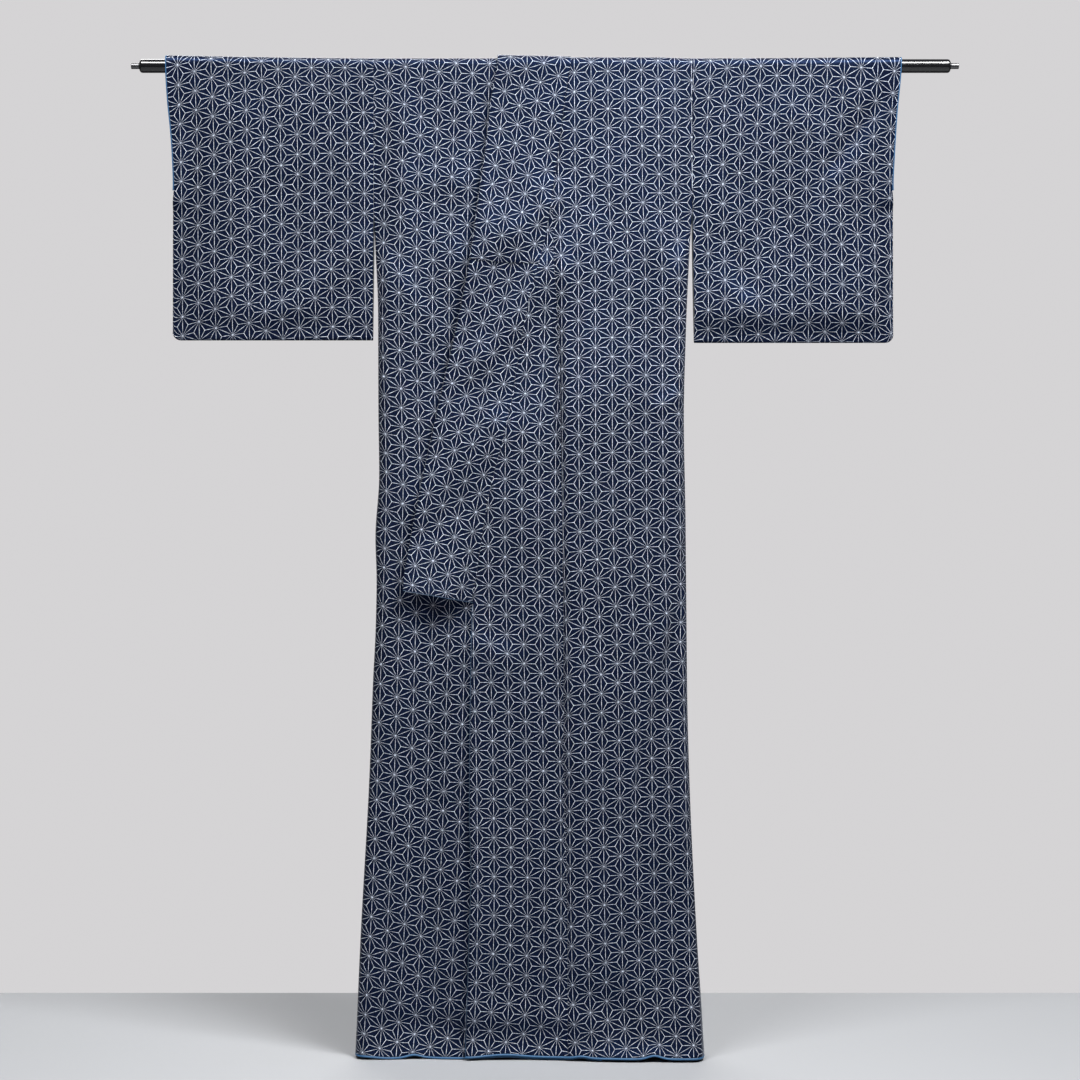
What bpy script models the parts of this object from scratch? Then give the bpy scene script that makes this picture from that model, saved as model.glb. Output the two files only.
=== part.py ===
"""A lined komon kimono hung through its sleeves on a lacquered rod.

Metres, +Z up. The origin is the middle of the rod's axis, the rod runs along X and the
front of the kimono faces -Y. Left and right are the wearer's, so the left side is at +X.

Every piece is a thin wall. A point of the cloth is named by two numbers: x, its place
across, and run, its place along the cloth. A run from -1 to 1 goes over the rod, from the
back of the rod to its front, and past that the cloth hangs: run 1.25 is 0.25 m below the
rod's axis in front, and run -1.25 the same behind.
"""

import math
from collections import namedtuple

import bmesh
import bpy
import numpy as np

# Driving sizes
ROD_RADIUS = 0.0115
ROD_LENGTH = 1.388
ROD_END_ROUNDING = 0.003
PEG_RADIUS = 0.005
PEG_LENGTH = 0.014
CLOTH = 0.0014
COVER_CLOTH = 0.0012
SEAM_GAP = 0.0003
ROD_CLEARANCE = 0.0004
MIDDLE_X = -0.0187
HEM_DROP = 1.6855
SLEEVE_SEAM_DROP = 0.240
SIDE_SEAM_DROP = 0.380
OKUMI_TOP_DROP = 0.231
COLLAR_SEAM_END_DROP = 0.917
COLLAR_END_SLANT = 0.021
COVER_END_DROP = 0.346
COVER_END_SLANT = 0.008
NECK_BAND_DROP = 0.055
CUFF_OPENING = 0.230
SLEEVE_CORNER_RADIUS = 0.014
CORNER_TURN = 0.93
CORNER_PARTS = (0.50, 0.15)
RIGHT_SLEEVE_BOTTOM = 0.4692
LEFT_SLEEVE_BOTTOM = 0.4735

# How the layers lie on each other
LAYER_LIFT_AT_ROD = 0.0018
LAYER_LIFT = 0.0042
LAYER_LIFT_DROP = 0.08
SIDE_ROUNDING = 0.028
SIDE_HALF_GAP = 0.0010
CUFF_HALF_GAP = 0.0017
SHOULDER_EASE = 0.10
FOLDS_START = 0.12
NECK_STEP_TOP = 0.030
NECK_STEP_BOTTOM = 0.046
NECK_TUCK = 0.0024
NECK_TUCK_HALF_WIDTH = 0.105
NECK_TUCK_EDGE = 0.04
NECK_TUCK_TOP = 0.012
NECK_TUCK_FULL = 0.028
NECK_TUCK_LOW = 0.07
NECK_TUCK_END = 0.14
COLLAR_EDGE_FLARE = 0.0022
COLLAR_FLARE_START = 0.10
COLLAR_FLARE_FULL = 0.25
COLLAR_END_FLARE = 0.0075
COLLAR_END_FLARE_WIDTH = 0.045
COLLAR_END_FLARE_HEIGHT = 0.13
COLLAR_SLANT_START = 0.70
OKUMI_EDGE_FLARE = 0.0030
OKUMI_FLARE_START = 0.867
OKUMI_FLARE_FULL = 0.967
FLARE_WIDTH = 0.035
HEM_BEND_DROP = 1.645
HEM_FRONT_KICK = 0.018
HEM_BACK_KICK = 0.010
UNDER_HEM_EXTRA = 0.0035
HEM_SHIFT_CLEAR = 0.010
HEM_SHIFT_FULL = 0.060

# How the sleeve opens and closes
SLEEVE_LOW_HALF_GAP = 0.0055
SLEEVE_SEAM_EASE = 0.11
CUFF_EASE = 0.045
CUFF_CLOSING = 0.020
SLEEVE_FOLD_MARGIN = 0.05
SLEEVE_FOLD_TOP = 0.10
SLEEVE_FOLD_BOTTOM = 0.09
BACK_FOLD_SHARE = 0.6
FOLD_CLOSING = 0.1

# The lining's rolled edges
HEM_ROLL = 0.0020
HEM_ROLL_HEIGHT = 0.0036
CUFF_ROLL = 0.0012
CUFF_ROLL_WIDTH = 0.0022
CUFF_ROLL_MARGIN = 0.01

# How finely the walls are divided
ARC_STEPS = 5
FLAT_COLUMNS = 7
ROUND_COLUMNS = 3
OKUMI_COLUMNS = 4
COLLAR_COLUMNS = 5
SLEEVE_COLUMNS = 9
SLEEVE_ROWS = 10
BOTTOM_STEPS = 4
CUFF_LINING_ROWS = 5
SLOPE_STEP = 0.004
RING_STEP = 0.01
SHARP_ANGLE = math.radians(45)

QUARTER = math.pi / 2
FRONT = 1
BACK = -1

# Edges of the hung cloth as seen from the front, measured down from the rod's axis
Edge = namedtuple("Edge", "drop x")
RIGHT_SIDE = (
    Edge(0.000, -0.2924), Edge(0.240, -0.2920), Edge(0.310, -0.2890), Edge(0.420, -0.2835),
    Edge(0.700, -0.2814), Edge(0.807, -0.2890), Edge(0.880, -0.2866), Edge(0.960, -0.2873),
    Edge(1.220, -0.2978), Edge(1.490, -0.3123), Edge(1.690, -0.3196),
)
LEFT_SIDE = (
    Edge(0.000, 0.2516), Edge(0.235, 0.2514), Edge(0.310, 0.2470), Edge(0.470, 0.2400),
    Edge(0.600, 0.2366), Edge(0.780, 0.2389), Edge(1.080, 0.2406), Edge(1.240, 0.2465),
    Edge(1.490, 0.2580), Edge(1.690, 0.2683),
)
COLLAR_FREE_EDGE = (
    Edge(0.000, -0.0812), Edge(0.060, -0.0927), Edge(0.140, -0.1012), Edge(0.220, -0.1122),
    Edge(0.320, -0.1261), Edge(0.465, -0.1547), Edge(0.585, -0.1819), Edge(0.750, -0.2166),
    Edge(0.900, -0.2400),
)
COLLAR_SEAM = (
    Edge(0.000, 0.0442), Edge(0.045, 0.0366), Edge(0.155, 0.0221), Edge(0.230, 0.0119),
    Edge(0.315, -0.0034), Edge(0.380, -0.0221), Edge(0.446, -0.0357), Edge(0.613, -0.0640),
    Edge(0.730, -0.0944), Edge(0.830, -0.1105), Edge(0.917, -0.1229),
)
OKUMI_SEAM = (
    Edge(0.225, 0.0132), Edge(0.315, 0.0140), Edge(0.430, 0.0218), Edge(0.570, 0.0255),
    Edge(0.900, 0.0306), Edge(1.250, 0.0328), Edge(1.420, 0.0374), Edge(1.690, 0.0391),
)
OKUMI_EDGE = (
    Edge(0.917, -0.1229), Edge(1.080, -0.1261), Edge(1.280, -0.1277), Edge(1.370, -0.1250),
    Edge(1.510, -0.1289), Edge(1.690, -0.1345),
)
RIGHT_CUFF = (
    Edge(-0.02, -0.6446), Edge(0.013, -0.6440), Edge(0.060, -0.6411), Edge(0.113, -0.6360),
    Edge(0.230, -0.6315), Edge(0.470, -0.6315),
)
LEFT_CUFF = (
    Edge(-0.02, 0.6050), Edge(0.015, 0.6032), Edge(0.083, 0.5974), Edge(0.152, 0.5928),
    Edge(0.239, 0.5910), Edge(0.474, 0.5910),
)
RIGHT_SLEEVE_SEAM = (Edge(-0.02, -0.2924), Edge(0.240, -0.2924), Edge(0.474, -0.2940))
LEFT_SLEEVE_SEAM = (Edge(-0.02, 0.2516), Edge(0.240, 0.2516), Edge(0.474, 0.2548))

# How far the cloth stands off the plane of the rod's axis, down the front and the back
Section = namedtuple("Section", "drop depth")
FRONT_SECTIONS = (
    Section(0.00, 0.0126), Section(0.06, 0.0128), Section(0.14, 0.0145), Section(0.28, 0.0180),
    Section(0.50, 0.0220), Section(0.85, 0.0240), Section(1.25, 0.0250), Section(1.69, 0.0280),
)
BACK_SECTIONS = (
    Section(0.00, 0.0126), Section(0.06, 0.0128), Section(0.16, 0.0150), Section(0.32, 0.0185),
    Section(0.65, 0.0230), Section(1.25, 0.0240), Section(1.69, 0.0250),
)
TOP_DEPTH = FRONT_SECTIONS[0].depth
SLEEVE_SECTIONS = (
    Section(0.00, 0.0126), Section(0.05, 0.0124), Section(0.15, 0.0108), Section(0.28, 0.0085),
    Section(0.40, 0.0058), Section(0.48, 0.0036),
)

# Large soft folds: a ridge, or a valley where height is negative, along a line
Fold = namedtuple("Fold", "x1 drop1 x2 drop2 width height")
FRONT_FOLDS = (
    Fold(0.030, 0.10, 0.036, 1.66, 0.016, -0.0028),
    Fold(-0.115, 0.310, -0.015, 0.215, 0.026, 0.0042),
    Fold(-0.100, 0.480, 0.020, 0.365, 0.030, 0.0046),
    Fold(-0.190, 0.700, -0.070, 0.610, 0.032, 0.0050),
    Fold(-0.070, 0.610, 0.215, 0.505, 0.034, 0.0046),
    Fold(0.200, 0.600, 0.145, 1.090, 0.042, 0.0050),
    Fold(0.145, 1.090, 0.108, 1.580, 0.042, 0.0048),
    Fold(-0.065, 0.980, -0.060, 1.640, 0.032, 0.0040),
    Fold(-0.225, 0.500, -0.232, 1.000, 0.036, 0.0036),
    Fold(-0.236, 1.000, -0.255, 1.640, 0.034, 0.0034),
    Fold(0.185, 0.080, 0.200, 0.450, 0.034, 0.0030),
    Fold(-0.200, 0.060, -0.225, 0.420, 0.034, 0.0030),
)
BACK_FOLDS = (
    Fold(-0.190, 0.10, -0.215, 1.64, 0.036, 0.0042),
    Fold(-0.090, 0.22, -0.100, 1.50, 0.030, 0.0034),
    Fold(0.070, 0.16, 0.075, 1.62, 0.034, 0.0040),
    Fold(0.165, 0.40, 0.185, 1.64, 0.032, 0.0036),
)
RIGHT_SLEEVE_FOLDS = (
    Fold(-0.350, 0.23, -0.450, 0.405, 0.028, -0.0034),
    Fold(-0.520, 0.10, -0.560, 0.380, 0.036, 0.0030),
)
LEFT_SLEEVE_FOLDS = (
    Fold(0.265, 0.23, 0.350, 0.400, 0.026, -0.0034),
    Fold(0.440, 0.12, 0.500, 0.390, 0.036, 0.0030),
)

# Where the hem lifts off the floor
Rise = namedtuple("Rise", "x width height")
HEM_RISES = (
    Rise(-0.2227, 0.016, 0.0050), Rise(-0.0680, 0.034, 0.0035), Rise(0.0620, 0.014, 0.0030),
    Rise(0.1845, 0.015, 0.0055),
)

# Heights of the rows of points, measured down from the rod's axis
FRONT_DROPS = (
    0.020, 0.050, 0.090, 0.135, 0.180, 0.232, 0.270, 0.310, 0.346, 0.385, 0.425, 0.465, 0.510,
    0.555, 0.600, 0.650, 0.700, 0.755, 0.810, 0.863, 0.917, 0.990, 1.070, 1.160, 1.260, 1.360,
    1.460, 1.560, 1.620, 1.648, 1.664, 1.676, HEM_DROP,
)
BACK_DROPS = (
    0.016, 0.030, 0.038, 0.046, 0.090, 0.160, 0.240, 0.310, 0.380, 0.500, 0.640, 0.800, 0.960,
    1.120, 1.280, 1.440, 1.580, 1.648, 1.670, HEM_DROP,
)
COLLAR_BACK_DROPS = (0.018, 0.036, NECK_BAND_DROP)

NAVY = (0.022, 0.035, 0.080, 1.0)
LINING_BLUE = (0.030, 0.130, 0.290, 1.0)
LACQUER = (0.010, 0.010, 0.011, 1.0)
STEEL = (0.45, 0.45, 0.46, 1.0)


def clear_scene():
    for item in list(bpy.data.objects):
        bpy.data.objects.remove(item, do_unlink=True)


def finish_material(name, colour, roughness, metallic=0.0):
    material = bpy.data.materials.new(name)
    material.use_nodes = True
    shader = material.node_tree.nodes["Principled BSDF"]
    shader.inputs["Base Color"].default_value = colour
    shader.inputs["Roughness"].default_value = roughness
    shader.inputs["Metallic"].default_value = metallic
    return material


def ease(value):
    """Goes smoothly from 0 to 1 as value does."""
    value = min(max(value, 0.0), 1.0)
    return value * value * (3.0 - 2.0 * value)


def between(value, start, end):
    """Goes smoothly from 0 at start to 1 at end."""
    return ease((value - start) / (end - start))


def shared_slope(before, after):
    """The slope at a row of a table, level where the curve turns."""
    if before * after <= 0.0:
        return 0.0
    return 2.0 * before * after / (before + after)


def along(rows, drop):
    """Reads a table at a drop, on a smooth curve through its rows."""
    drops = [row[0] for row in rows]
    values = [row[1] for row in rows]
    if drop <= drops[0]:
        return values[0]
    if drop >= drops[-1]:
        return values[-1]
    slopes = np.diff(values) / np.diff(drops)
    index = int(np.searchsorted(drops, drop)) - 1
    span = drops[index + 1] - drops[index]
    start = slopes[0] if index == 0 else shared_slope(slopes[index - 1], slopes[index])
    last = index == len(slopes) - 1
    end = slopes[-1] if last else shared_slope(slopes[index], slopes[index + 1])
    part = (drop - drops[index]) / span
    return (
        values[index] * (2 * part**3 - 3 * part**2 + 1)
        + start * span * (part**3 - 2 * part**2 + part)
        + values[index + 1] * (3 * part**2 - 2 * part**3)
        + end * span * (part**3 - part**2)
    )


def mirrored(x):
    """The same place on the other front, which is cut the same."""
    return 2 * MIDDLE_X - x


def relief(folds, x, drop):
    """How far the soft folds lift the cloth at a place."""
    height = 0.0
    for fold in folds:
        line_x = fold.x2 - fold.x1
        line_drop = fold.drop2 - fold.drop1
        length = math.hypot(line_x, line_drop)
        reach = ((x - fold.x1) * line_x + (drop - fold.drop1) * line_drop) / length
        across = ((x - fold.x1) * line_drop - (drop - fold.drop1) * line_x) / length
        over = max(-reach, reach - length, 0.0)
        height += fold.height * math.exp(-((across**2 + over**2) / fold.width**2))
    return height


def from_side(x, drop):
    """How far a place lies inside the nearer side edge."""
    return min(x - along(RIGHT_SIDE, drop), along(LEFT_SIDE, drop) - x)


def side_share(x, drop):
    """0 at the side edge and 1 inside: square at the armhole, round at the side seam."""
    inside = from_side(x, drop)
    square = ease(inside / SHOULDER_EASE)
    within = min(max(inside / SIDE_ROUNDING, 0.0), 1.0)
    rounded = math.sqrt(1.0 - (1.0 - within) ** 2)
    closed = between(drop, SLEEVE_SEAM_DROP, SIDE_SEAM_DROP)
    return square + (rounded - square) * closed


def edge_depth(drop):
    """Half the space between front and back at the body's side edge."""
    closed = between(drop, SLEEVE_SEAM_DROP, SIDE_SEAM_DROP)
    return TOP_DEPTH + (SIDE_HALF_GAP - TOP_DEPTH) * closed


def hem_bend(drop, kick):
    """The last few centimetres turn outwards where the hem brushes the floor."""
    past = max(drop - HEM_BEND_DROP, 0.0) / (HEM_DROP - HEM_BEND_DROP)
    return kick * past**2


def layer_lift(drop):
    """How far the left front lies over the right front."""
    grown = ease(drop / LAYER_LIFT_DROP)
    return LAYER_LIFT_AT_ROD + (LAYER_LIFT - LAYER_LIFT_AT_ROD) * grown


def front_depth(x, drop, upper):
    depth = along(FRONT_SECTIONS, drop)
    depth += relief(FRONT_FOLDS, x, drop) * ease(drop / FOLDS_START)
    depth += hem_bend(drop, HEM_FRONT_KICK)
    if upper:
        depth += layer_lift(drop)
    start = edge_depth(drop)
    return start + (depth - start) * side_share(x, drop)


def back_depth(x, drop, upper):
    depth = along(BACK_SECTIONS, drop)
    depth += relief(BACK_FOLDS, x, drop) * ease(drop / FOLDS_START)
    depth += hem_bend(drop, HEM_BACK_KICK)
    neck = ease((NECK_TUCK_HALF_WIDTH - abs(x - MIDDLE_X)) / NECK_TUCK_EDGE)
    neck *= between(drop, NECK_TUCK_TOP, NECK_TUCK_FULL)
    neck *= between(drop, NECK_TUCK_END, NECK_TUCK_LOW)
    depth -= NECK_TUCK * neck
    if upper:
        depth += LAYER_LIFT_AT_ROD * between(drop, NECK_TUCK_FULL, 0.0)
    start = edge_depth(drop)
    return start + (depth - start) * side_share(x, drop)


def body_point(x, run, upper):
    """The middle of the cloth's thickness, anywhere on the body."""
    face = FRONT if run > 0 else BACK
    drop = abs(run) - 1.0
    if drop >= 0.0:
        depth = front_depth(x, drop, upper) if face == FRONT else back_depth(x, drop, upper)
        return np.array((x, -face * depth, -drop))
    radius = ROD_RADIUS + ROD_CLEARANCE + CLOTH / 2
    if upper:
        radius += LAYER_LIFT_AT_ROD * side_share(x, 0.0)
    angle = run * QUARTER
    return np.array((x, -radius * math.sin(angle), radius * math.cos(angle)))


def outward(point_at, x, run):
    """The direction square to the cloth, away from the rod, from its slopes each way."""
    across = point_at(x + SLOPE_STEP, run) - point_at(x - SLOPE_STEP, run)
    down = point_at(x, run + SLOPE_STEP) - point_at(x, run - SLOPE_STEP)
    normal = np.cross(down, across)
    return normal / np.linalg.norm(normal)


def add_object(name, mesh, material):
    mesh.shade_smooth()
    mesh.set_sharp_from_angle(angle=SHARP_ANGLE)
    mesh.materials.append(material)
    item = bpy.data.objects.new(name, mesh)
    bpy.context.scene.collection.objects.link(item)
    return item


def wall(name, points, normals, thickness, material, ring=False):
    """A closed cloth wall: a grid of middle points moved out and in, with rims."""
    rows = len(points)
    columns = len(points[0])
    shell = bmesh.new()
    outer = []
    inner = []
    for row_points, row_normals in zip(points, normals):
        pairs = list(zip(row_points, row_normals))
        outer.append([shell.verts.new(p + n * thickness / 2) for p, n in pairs])
        inner.append([shell.verts.new(p - n * thickness / 2) for p, n in pairs])
    steps = rows if ring else rows - 1
    for i in range(steps):
        k = (i + 1) % rows
        for j in range(columns - 1):
            shell.faces.new((outer[i][j], outer[i][j + 1], outer[k][j + 1], outer[k][j]))
            shell.faces.new((inner[i][j], inner[k][j], inner[k][j + 1], inner[i][j + 1]))
        shell.faces.new((outer[i][0], outer[k][0], inner[k][0], inner[i][0]))
        shell.faces.new((outer[i][-1], inner[i][-1], inner[k][-1], outer[k][-1]))
    if not ring:
        for j in range(columns - 1):
            shell.faces.new((outer[0][j], inner[0][j], inner[0][j + 1], outer[0][j + 1]))
            shell.faces.new((outer[-1][j], outer[-1][j + 1], inner[-1][j + 1], inner[-1][j]))
    bmesh.ops.recalc_face_normals(shell, faces=shell.faces)
    mesh = bpy.data.meshes.new(name)
    shell.to_mesh(mesh)
    shell.free()
    return add_object(name, mesh, material)


def hem_rise(x):
    return sum(rise.height * math.exp(-(((x - rise.x) / rise.width) ** 2)) for rise in HEM_RISES)


def hem_shift(x, drop, upper, face):
    """Moves the lowest rows up where the hem lifts, and down for the under layer."""
    if face == BACK:
        return 0.0
    share = between(drop, HEM_BEND_DROP, HEM_DROP)
    share *= between(from_side(x, drop), HEM_SHIFT_CLEAR, HEM_SHIFT_FULL)
    extra = 0.0 if upper else UNDER_HEM_EXTRA
    return share * (hem_rise(x) - extra)


def front_seam(drop, upper):
    """Where the body's front panel ends: at the collar, and lower down at the okumi."""
    table = COLLAR_SEAM if drop < OKUMI_TOP_DROP else OKUMI_SEAM
    x = along(table, drop)
    return x + SEAM_GAP / 2 if upper else mirrored(x) - SEAM_GAP / 2


def back_seam(drop, upper):
    """The back's inner edge: beside the neck, then stepping in to the centre seam."""
    side = 1 if upper else -1
    neck = along(COLLAR_SEAM, 0.0) - MIDDLE_X
    step = (drop - NECK_STEP_TOP) / (NECK_STEP_BOTTOM - NECK_STEP_TOP)
    reach = neck * (1.0 - min(max(step, 0.0), 1.0))
    return MIDDLE_X + side * (reach + SEAM_GAP / 2)


def spread(seam_x, side_x, side_rounding):
    """Places across a panel, closer together where the side is round."""
    sign = 1 if side_x > seam_x else -1
    corner = side_x - sign * side_rounding
    places = list(np.linspace(seam_x, corner, FLAT_COLUMNS + 1))
    for step in range(1, ROUND_COLUMNS + 1):
        turn = QUARTER * (1.0 - step / ROUND_COLUMNS)
        places.append(side_x - sign * side_rounding * (1.0 - math.cos(turn)))
    return places


def body_runs():
    """The rows of a body half, from the front hem over the rod to the back hem."""
    runs = [1.0 + drop for drop in reversed(FRONT_DROPS)]
    runs += [1.0 - step / ARC_STEPS for step in range(2 * ARC_STEPS + 1)]
    runs += [-1.0 - drop for drop in BACK_DROPS]
    return runs


def body_row(run, upper):
    """The places across one row of a body half."""
    face = FRONT if run > 0 else BACK
    drop = max(abs(run) - 1.0, 0.0)
    seam = front_seam(drop, upper) if face == FRONT else back_seam(drop, upper)
    side = along(LEFT_SIDE, drop) if upper else along(RIGHT_SIDE, drop)
    if drop < SLEEVE_SEAM_DROP:
        side -= SEAM_GAP / 2 if upper else -SEAM_GAP / 2
    return spread(seam, side, SIDE_ROUNDING)


def grid_on_body(rows, upper, point_at=None):
    """Points and directions for rows of (run, places across) on a body layer."""
    point_at = point_at or (lambda x, run: body_point(x, run, upper))
    points = []
    normals = []
    for run, places in rows:
        face = FRONT if run > 0 else BACK
        drop = abs(run) - 1.0
        row = [point_at(x, run) for x in places]
        if drop > HEM_BEND_DROP:
            for point, x in zip(row, places):
                point[2] += hem_shift(x, drop, upper, face)
        points.append(row)
        normals.append([outward(point_at, x, run) for x in places])
    return points, normals


def body_half(name, upper, material):
    rows = [(run, body_row(run, upper)) for run in body_runs()]
    points, normals = grid_on_body(rows, upper)
    return wall(name, points, normals, CLOTH, material)


def okumi_free_edge(drop):
    table = COLLAR_SEAM if drop < COLLAR_SEAM_END_DROP else OKUMI_EDGE
    gap = SEAM_GAP / 2 if drop <= COLLAR_SEAM_END_DROP else 0.0
    return along(table, drop) + gap


def okumi_rows(upper):
    """The rows of an okumi, from its narrow tip to the hem."""
    rows = []
    for drop in FRONT_DROPS:
        if drop < OKUMI_TOP_DROP:
            continue
        free = okumi_free_edge(drop)
        seam = along(OKUMI_SEAM, drop) - SEAM_GAP / 2
        places = list(np.linspace(free, seam, OKUMI_COLUMNS + 1))
        if not upper:
            places = [mirrored(x) for x in places]
        rows.append((1.0 + drop, places))
    return rows


def okumi_point(x, run, upper):
    """The okumi's front edge stands a little proud of what it lies on."""
    point = body_point(x, run, upper)
    drop = run - 1.0
    if upper:
        near = ease(1.0 - (x - along(OKUMI_EDGE, drop)) / FLARE_WIDTH)
        point[1] -= OKUMI_EDGE_FLARE * near * between(drop, OKUMI_FLARE_START, OKUMI_FLARE_FULL)
    return point


def okumi(name, upper, material):
    points, normals = grid_on_body(
        okumi_rows(upper), upper, lambda x, run: okumi_point(x, run, upper))
    return wall(name, points, normals, CLOTH, material)


def collar_edges(drop, upper):
    """The collar's seam edge and free edge at a drop, on either front."""
    seam = along(COLLAR_SEAM, drop) - SEAM_GAP / 2
    free = along(COLLAR_FREE_EDGE, drop)
    if upper:
        return seam, free
    return mirrored(seam), mirrored(free)


def collar_point(x, run, upper):
    """A point of the collar, whose free edge and end stand proud on the upper side."""
    point = body_point(x, run, upper)
    if not upper or run < 1.0:
        return point
    drop = run - 1.0
    inside = x - along(COLLAR_FREE_EDGE, drop)
    grown = between(drop, COLLAR_FLARE_START, COLLAR_FLARE_FULL)
    point[1] -= COLLAR_EDGE_FLARE * grown * ease(1.0 - inside / FLARE_WIDTH)
    end = between(drop, COLLAR_SEAM_END_DROP - COLLAR_END_FLARE_HEIGHT, COLLAR_SEAM_END_DROP)
    from_seam = ease((along(COLLAR_SEAM, drop) - x) / COLLAR_END_FLARE_WIDTH)
    point[1] -= COLLAR_END_FLARE * end * from_seam
    return point


def collar_row(run, upper, share_of_end):
    """One row across the collar: its free edge ends a little higher than its seam."""
    drop = max(abs(run) - 1.0, 0.0)
    seam, free = collar_edges(drop if run > 0 else 0.0, upper)
    points = []
    normals = []
    for step in range(COLLAR_COLUMNS + 1):
        share = step / COLLAR_COLUMNS
        x = seam + (free - seam) * share
        raised = run - COLLAR_END_SLANT * share * share_of_end
        point_at = lambda px, prun: collar_point(px, prun, upper)
        points.append(point_at(x, raised))
        normals.append(outward(point_at, x, raised))
    return points, normals


def collar_strip(upper):
    """The rows of one side's collar, from its end up over the rod to behind the neck."""
    drops = [drop for drop in FRONT_DROPS if drop <= COLLAR_SEAM_END_DROP]
    runs = [1.0 + drop for drop in reversed(drops)]
    runs += [1.0 - step / ARC_STEPS for step in range(2 * ARC_STEPS + 1)]
    runs += [-1.0 - drop for drop in COLLAR_BACK_DROPS]
    points = []
    normals = []
    for run in runs:
        share_of_end = between(run - 1.0, COLLAR_SLANT_START, COLLAR_SEAM_END_DROP)
        row_points, row_normals = collar_row(run, upper, share_of_end)
        points.append(row_points)
        normals.append(row_normals)
    return points, normals


def neck_level(points, radius):
    """Keeps the strip behind the rod at its own level, clear of the body's tuck."""
    for point in points:
        point[1] = radius


def collar(name, material):
    """One band: down the left front, round behind the neck and down the right front."""
    upper_points, upper_normals = collar_strip(True)
    under_points, under_normals = collar_strip(False)
    under_radius = ROD_RADIUS + ROD_CLEARANCE + CLOTH / 2
    upper_radius = under_radius + LAYER_LIFT_AT_ROD
    for step in range(len(COLLAR_BACK_DROPS)):
        neck_level(upper_points[-1 - step], upper_radius)
        neck_level(under_points[-1 - step], under_radius)
        upper_normals[-1 - step] = [np.array((0.0, 1.0, 0.0))] * (COLLAR_COLUMNS + 1)
        under_normals[-1 - step] = [np.array((0.0, 1.0, 0.0))] * (COLLAR_COLUMNS + 1)
    fold_points = []
    fold_normals = []
    fold_radius = LAYER_LIFT_AT_ROD / 2
    for step in range(1, BOTTOM_STEPS):
        turn = math.pi * step / BOTTOM_STEPS
        direction = np.array((0.0, math.cos(turn), -math.sin(turn)))
        centre = (upper_radius + under_radius) / 2
        row = [
            np.array((p[0], centre, -NECK_BAND_DROP)) + direction * fold_radius
            for p in upper_points[-1]
        ]
        fold_points.append(row)
        fold_normals.append([direction] * len(row))
    # The other half's columns run the other way, and past the fold its outside faces the rod.
    back_points = [list(reversed(row)) for row in reversed(under_points)]
    back_normals = [[-n for n in reversed(row)] for row in reversed(under_normals)]
    points = upper_points + fold_points + back_points
    normals = upper_normals + fold_normals + back_normals
    wall(name, points, normals, CLOTH, material)
    return upper_points, upper_normals


def collar_cover(name, strip_points, strip_normals, material):
    """The cover is made from the collar's own points, moved out."""
    drops = [drop for drop in FRONT_DROPS if drop <= COLLAR_SEAM_END_DROP]
    first = len([drop for drop in drops if drop > COVER_END_DROP])
    lift = CLOTH / 2 + SEAM_GAP + COVER_CLOTH / 2
    points = []
    for row, row_normals in zip(strip_points[first:], strip_normals[first:]):
        points.append([p + n * lift for p, n in zip(row, row_normals)])
    for step, (point, above) in enumerate(zip(points[0], points[1])):
        raised = COVER_END_SLANT * step / COLLAR_COLUMNS / np.linalg.norm(above - point)
        point += (above - point) * raised
    return wall(name, points, strip_normals[first:], COVER_CLOTH, material)


Sleeve = namedtuple("Sleeve", "seam cuff bottom folds side")
RIGHT_SLEEVE = Sleeve(RIGHT_SLEEVE_SEAM, RIGHT_CUFF, RIGHT_SLEEVE_BOTTOM, RIGHT_SLEEVE_FOLDS, -1)
LEFT_SLEEVE = Sleeve(LEFT_SLEEVE_SEAM, LEFT_CUFF, LEFT_SLEEVE_BOTTOM, LEFT_SLEEVE_FOLDS, 1)


def sleeve_depth(sleeve, x, drop, face):
    """Half the space inside the sleeve: open at the armhole, closed below the cuff."""
    depth = along(SLEEVE_SECTIONS, drop)
    inside = abs(x - along(sleeve.seam, drop))
    outside = abs(along(sleeve.cuff, drop) - x)
    fade = ease(drop / SLEEVE_FOLD_TOP) * ease((sleeve.bottom - drop) / SLEEVE_FOLD_BOTTOM)
    fade *= ease(inside / SLEEVE_FOLD_MARGIN) * ease(outside / SLEEVE_FOLD_MARGIN)
    if face == BACK:
        fade *= BACK_FOLD_SHARE
    depth += relief(sleeve.folds, x, drop) * fade
    opened = between(drop, SLEEVE_SEAM_DROP, sleeve.bottom)
    open_depth = TOP_DEPTH + (SLEEVE_LOW_HALF_GAP - TOP_DEPTH) * opened
    depth += (open_depth - depth) * (1.0 - ease(inside / SLEEVE_SEAM_EASE))
    closed = between(drop, CUFF_OPENING, CUFF_OPENING + CUFF_CLOSING)
    cuff_depth = depth + (CUFF_HALF_GAP - depth) * closed
    return depth + (cuff_depth - depth) * (1.0 - ease(outside / CUFF_EASE))


def sleeve_bottom(sleeve, x):
    """The lowest point of the sleeve at a place across, up round the outer corner."""
    outside = abs(sleeve.cuff[-1].x - x)
    lean = min(max(1.0 - outside / SLEEVE_CORNER_RADIUS, 0.0), CORNER_TURN)
    return sleeve.bottom - SLEEVE_CORNER_RADIUS * (1.0 - math.sqrt(1.0 - lean**2))


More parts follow.
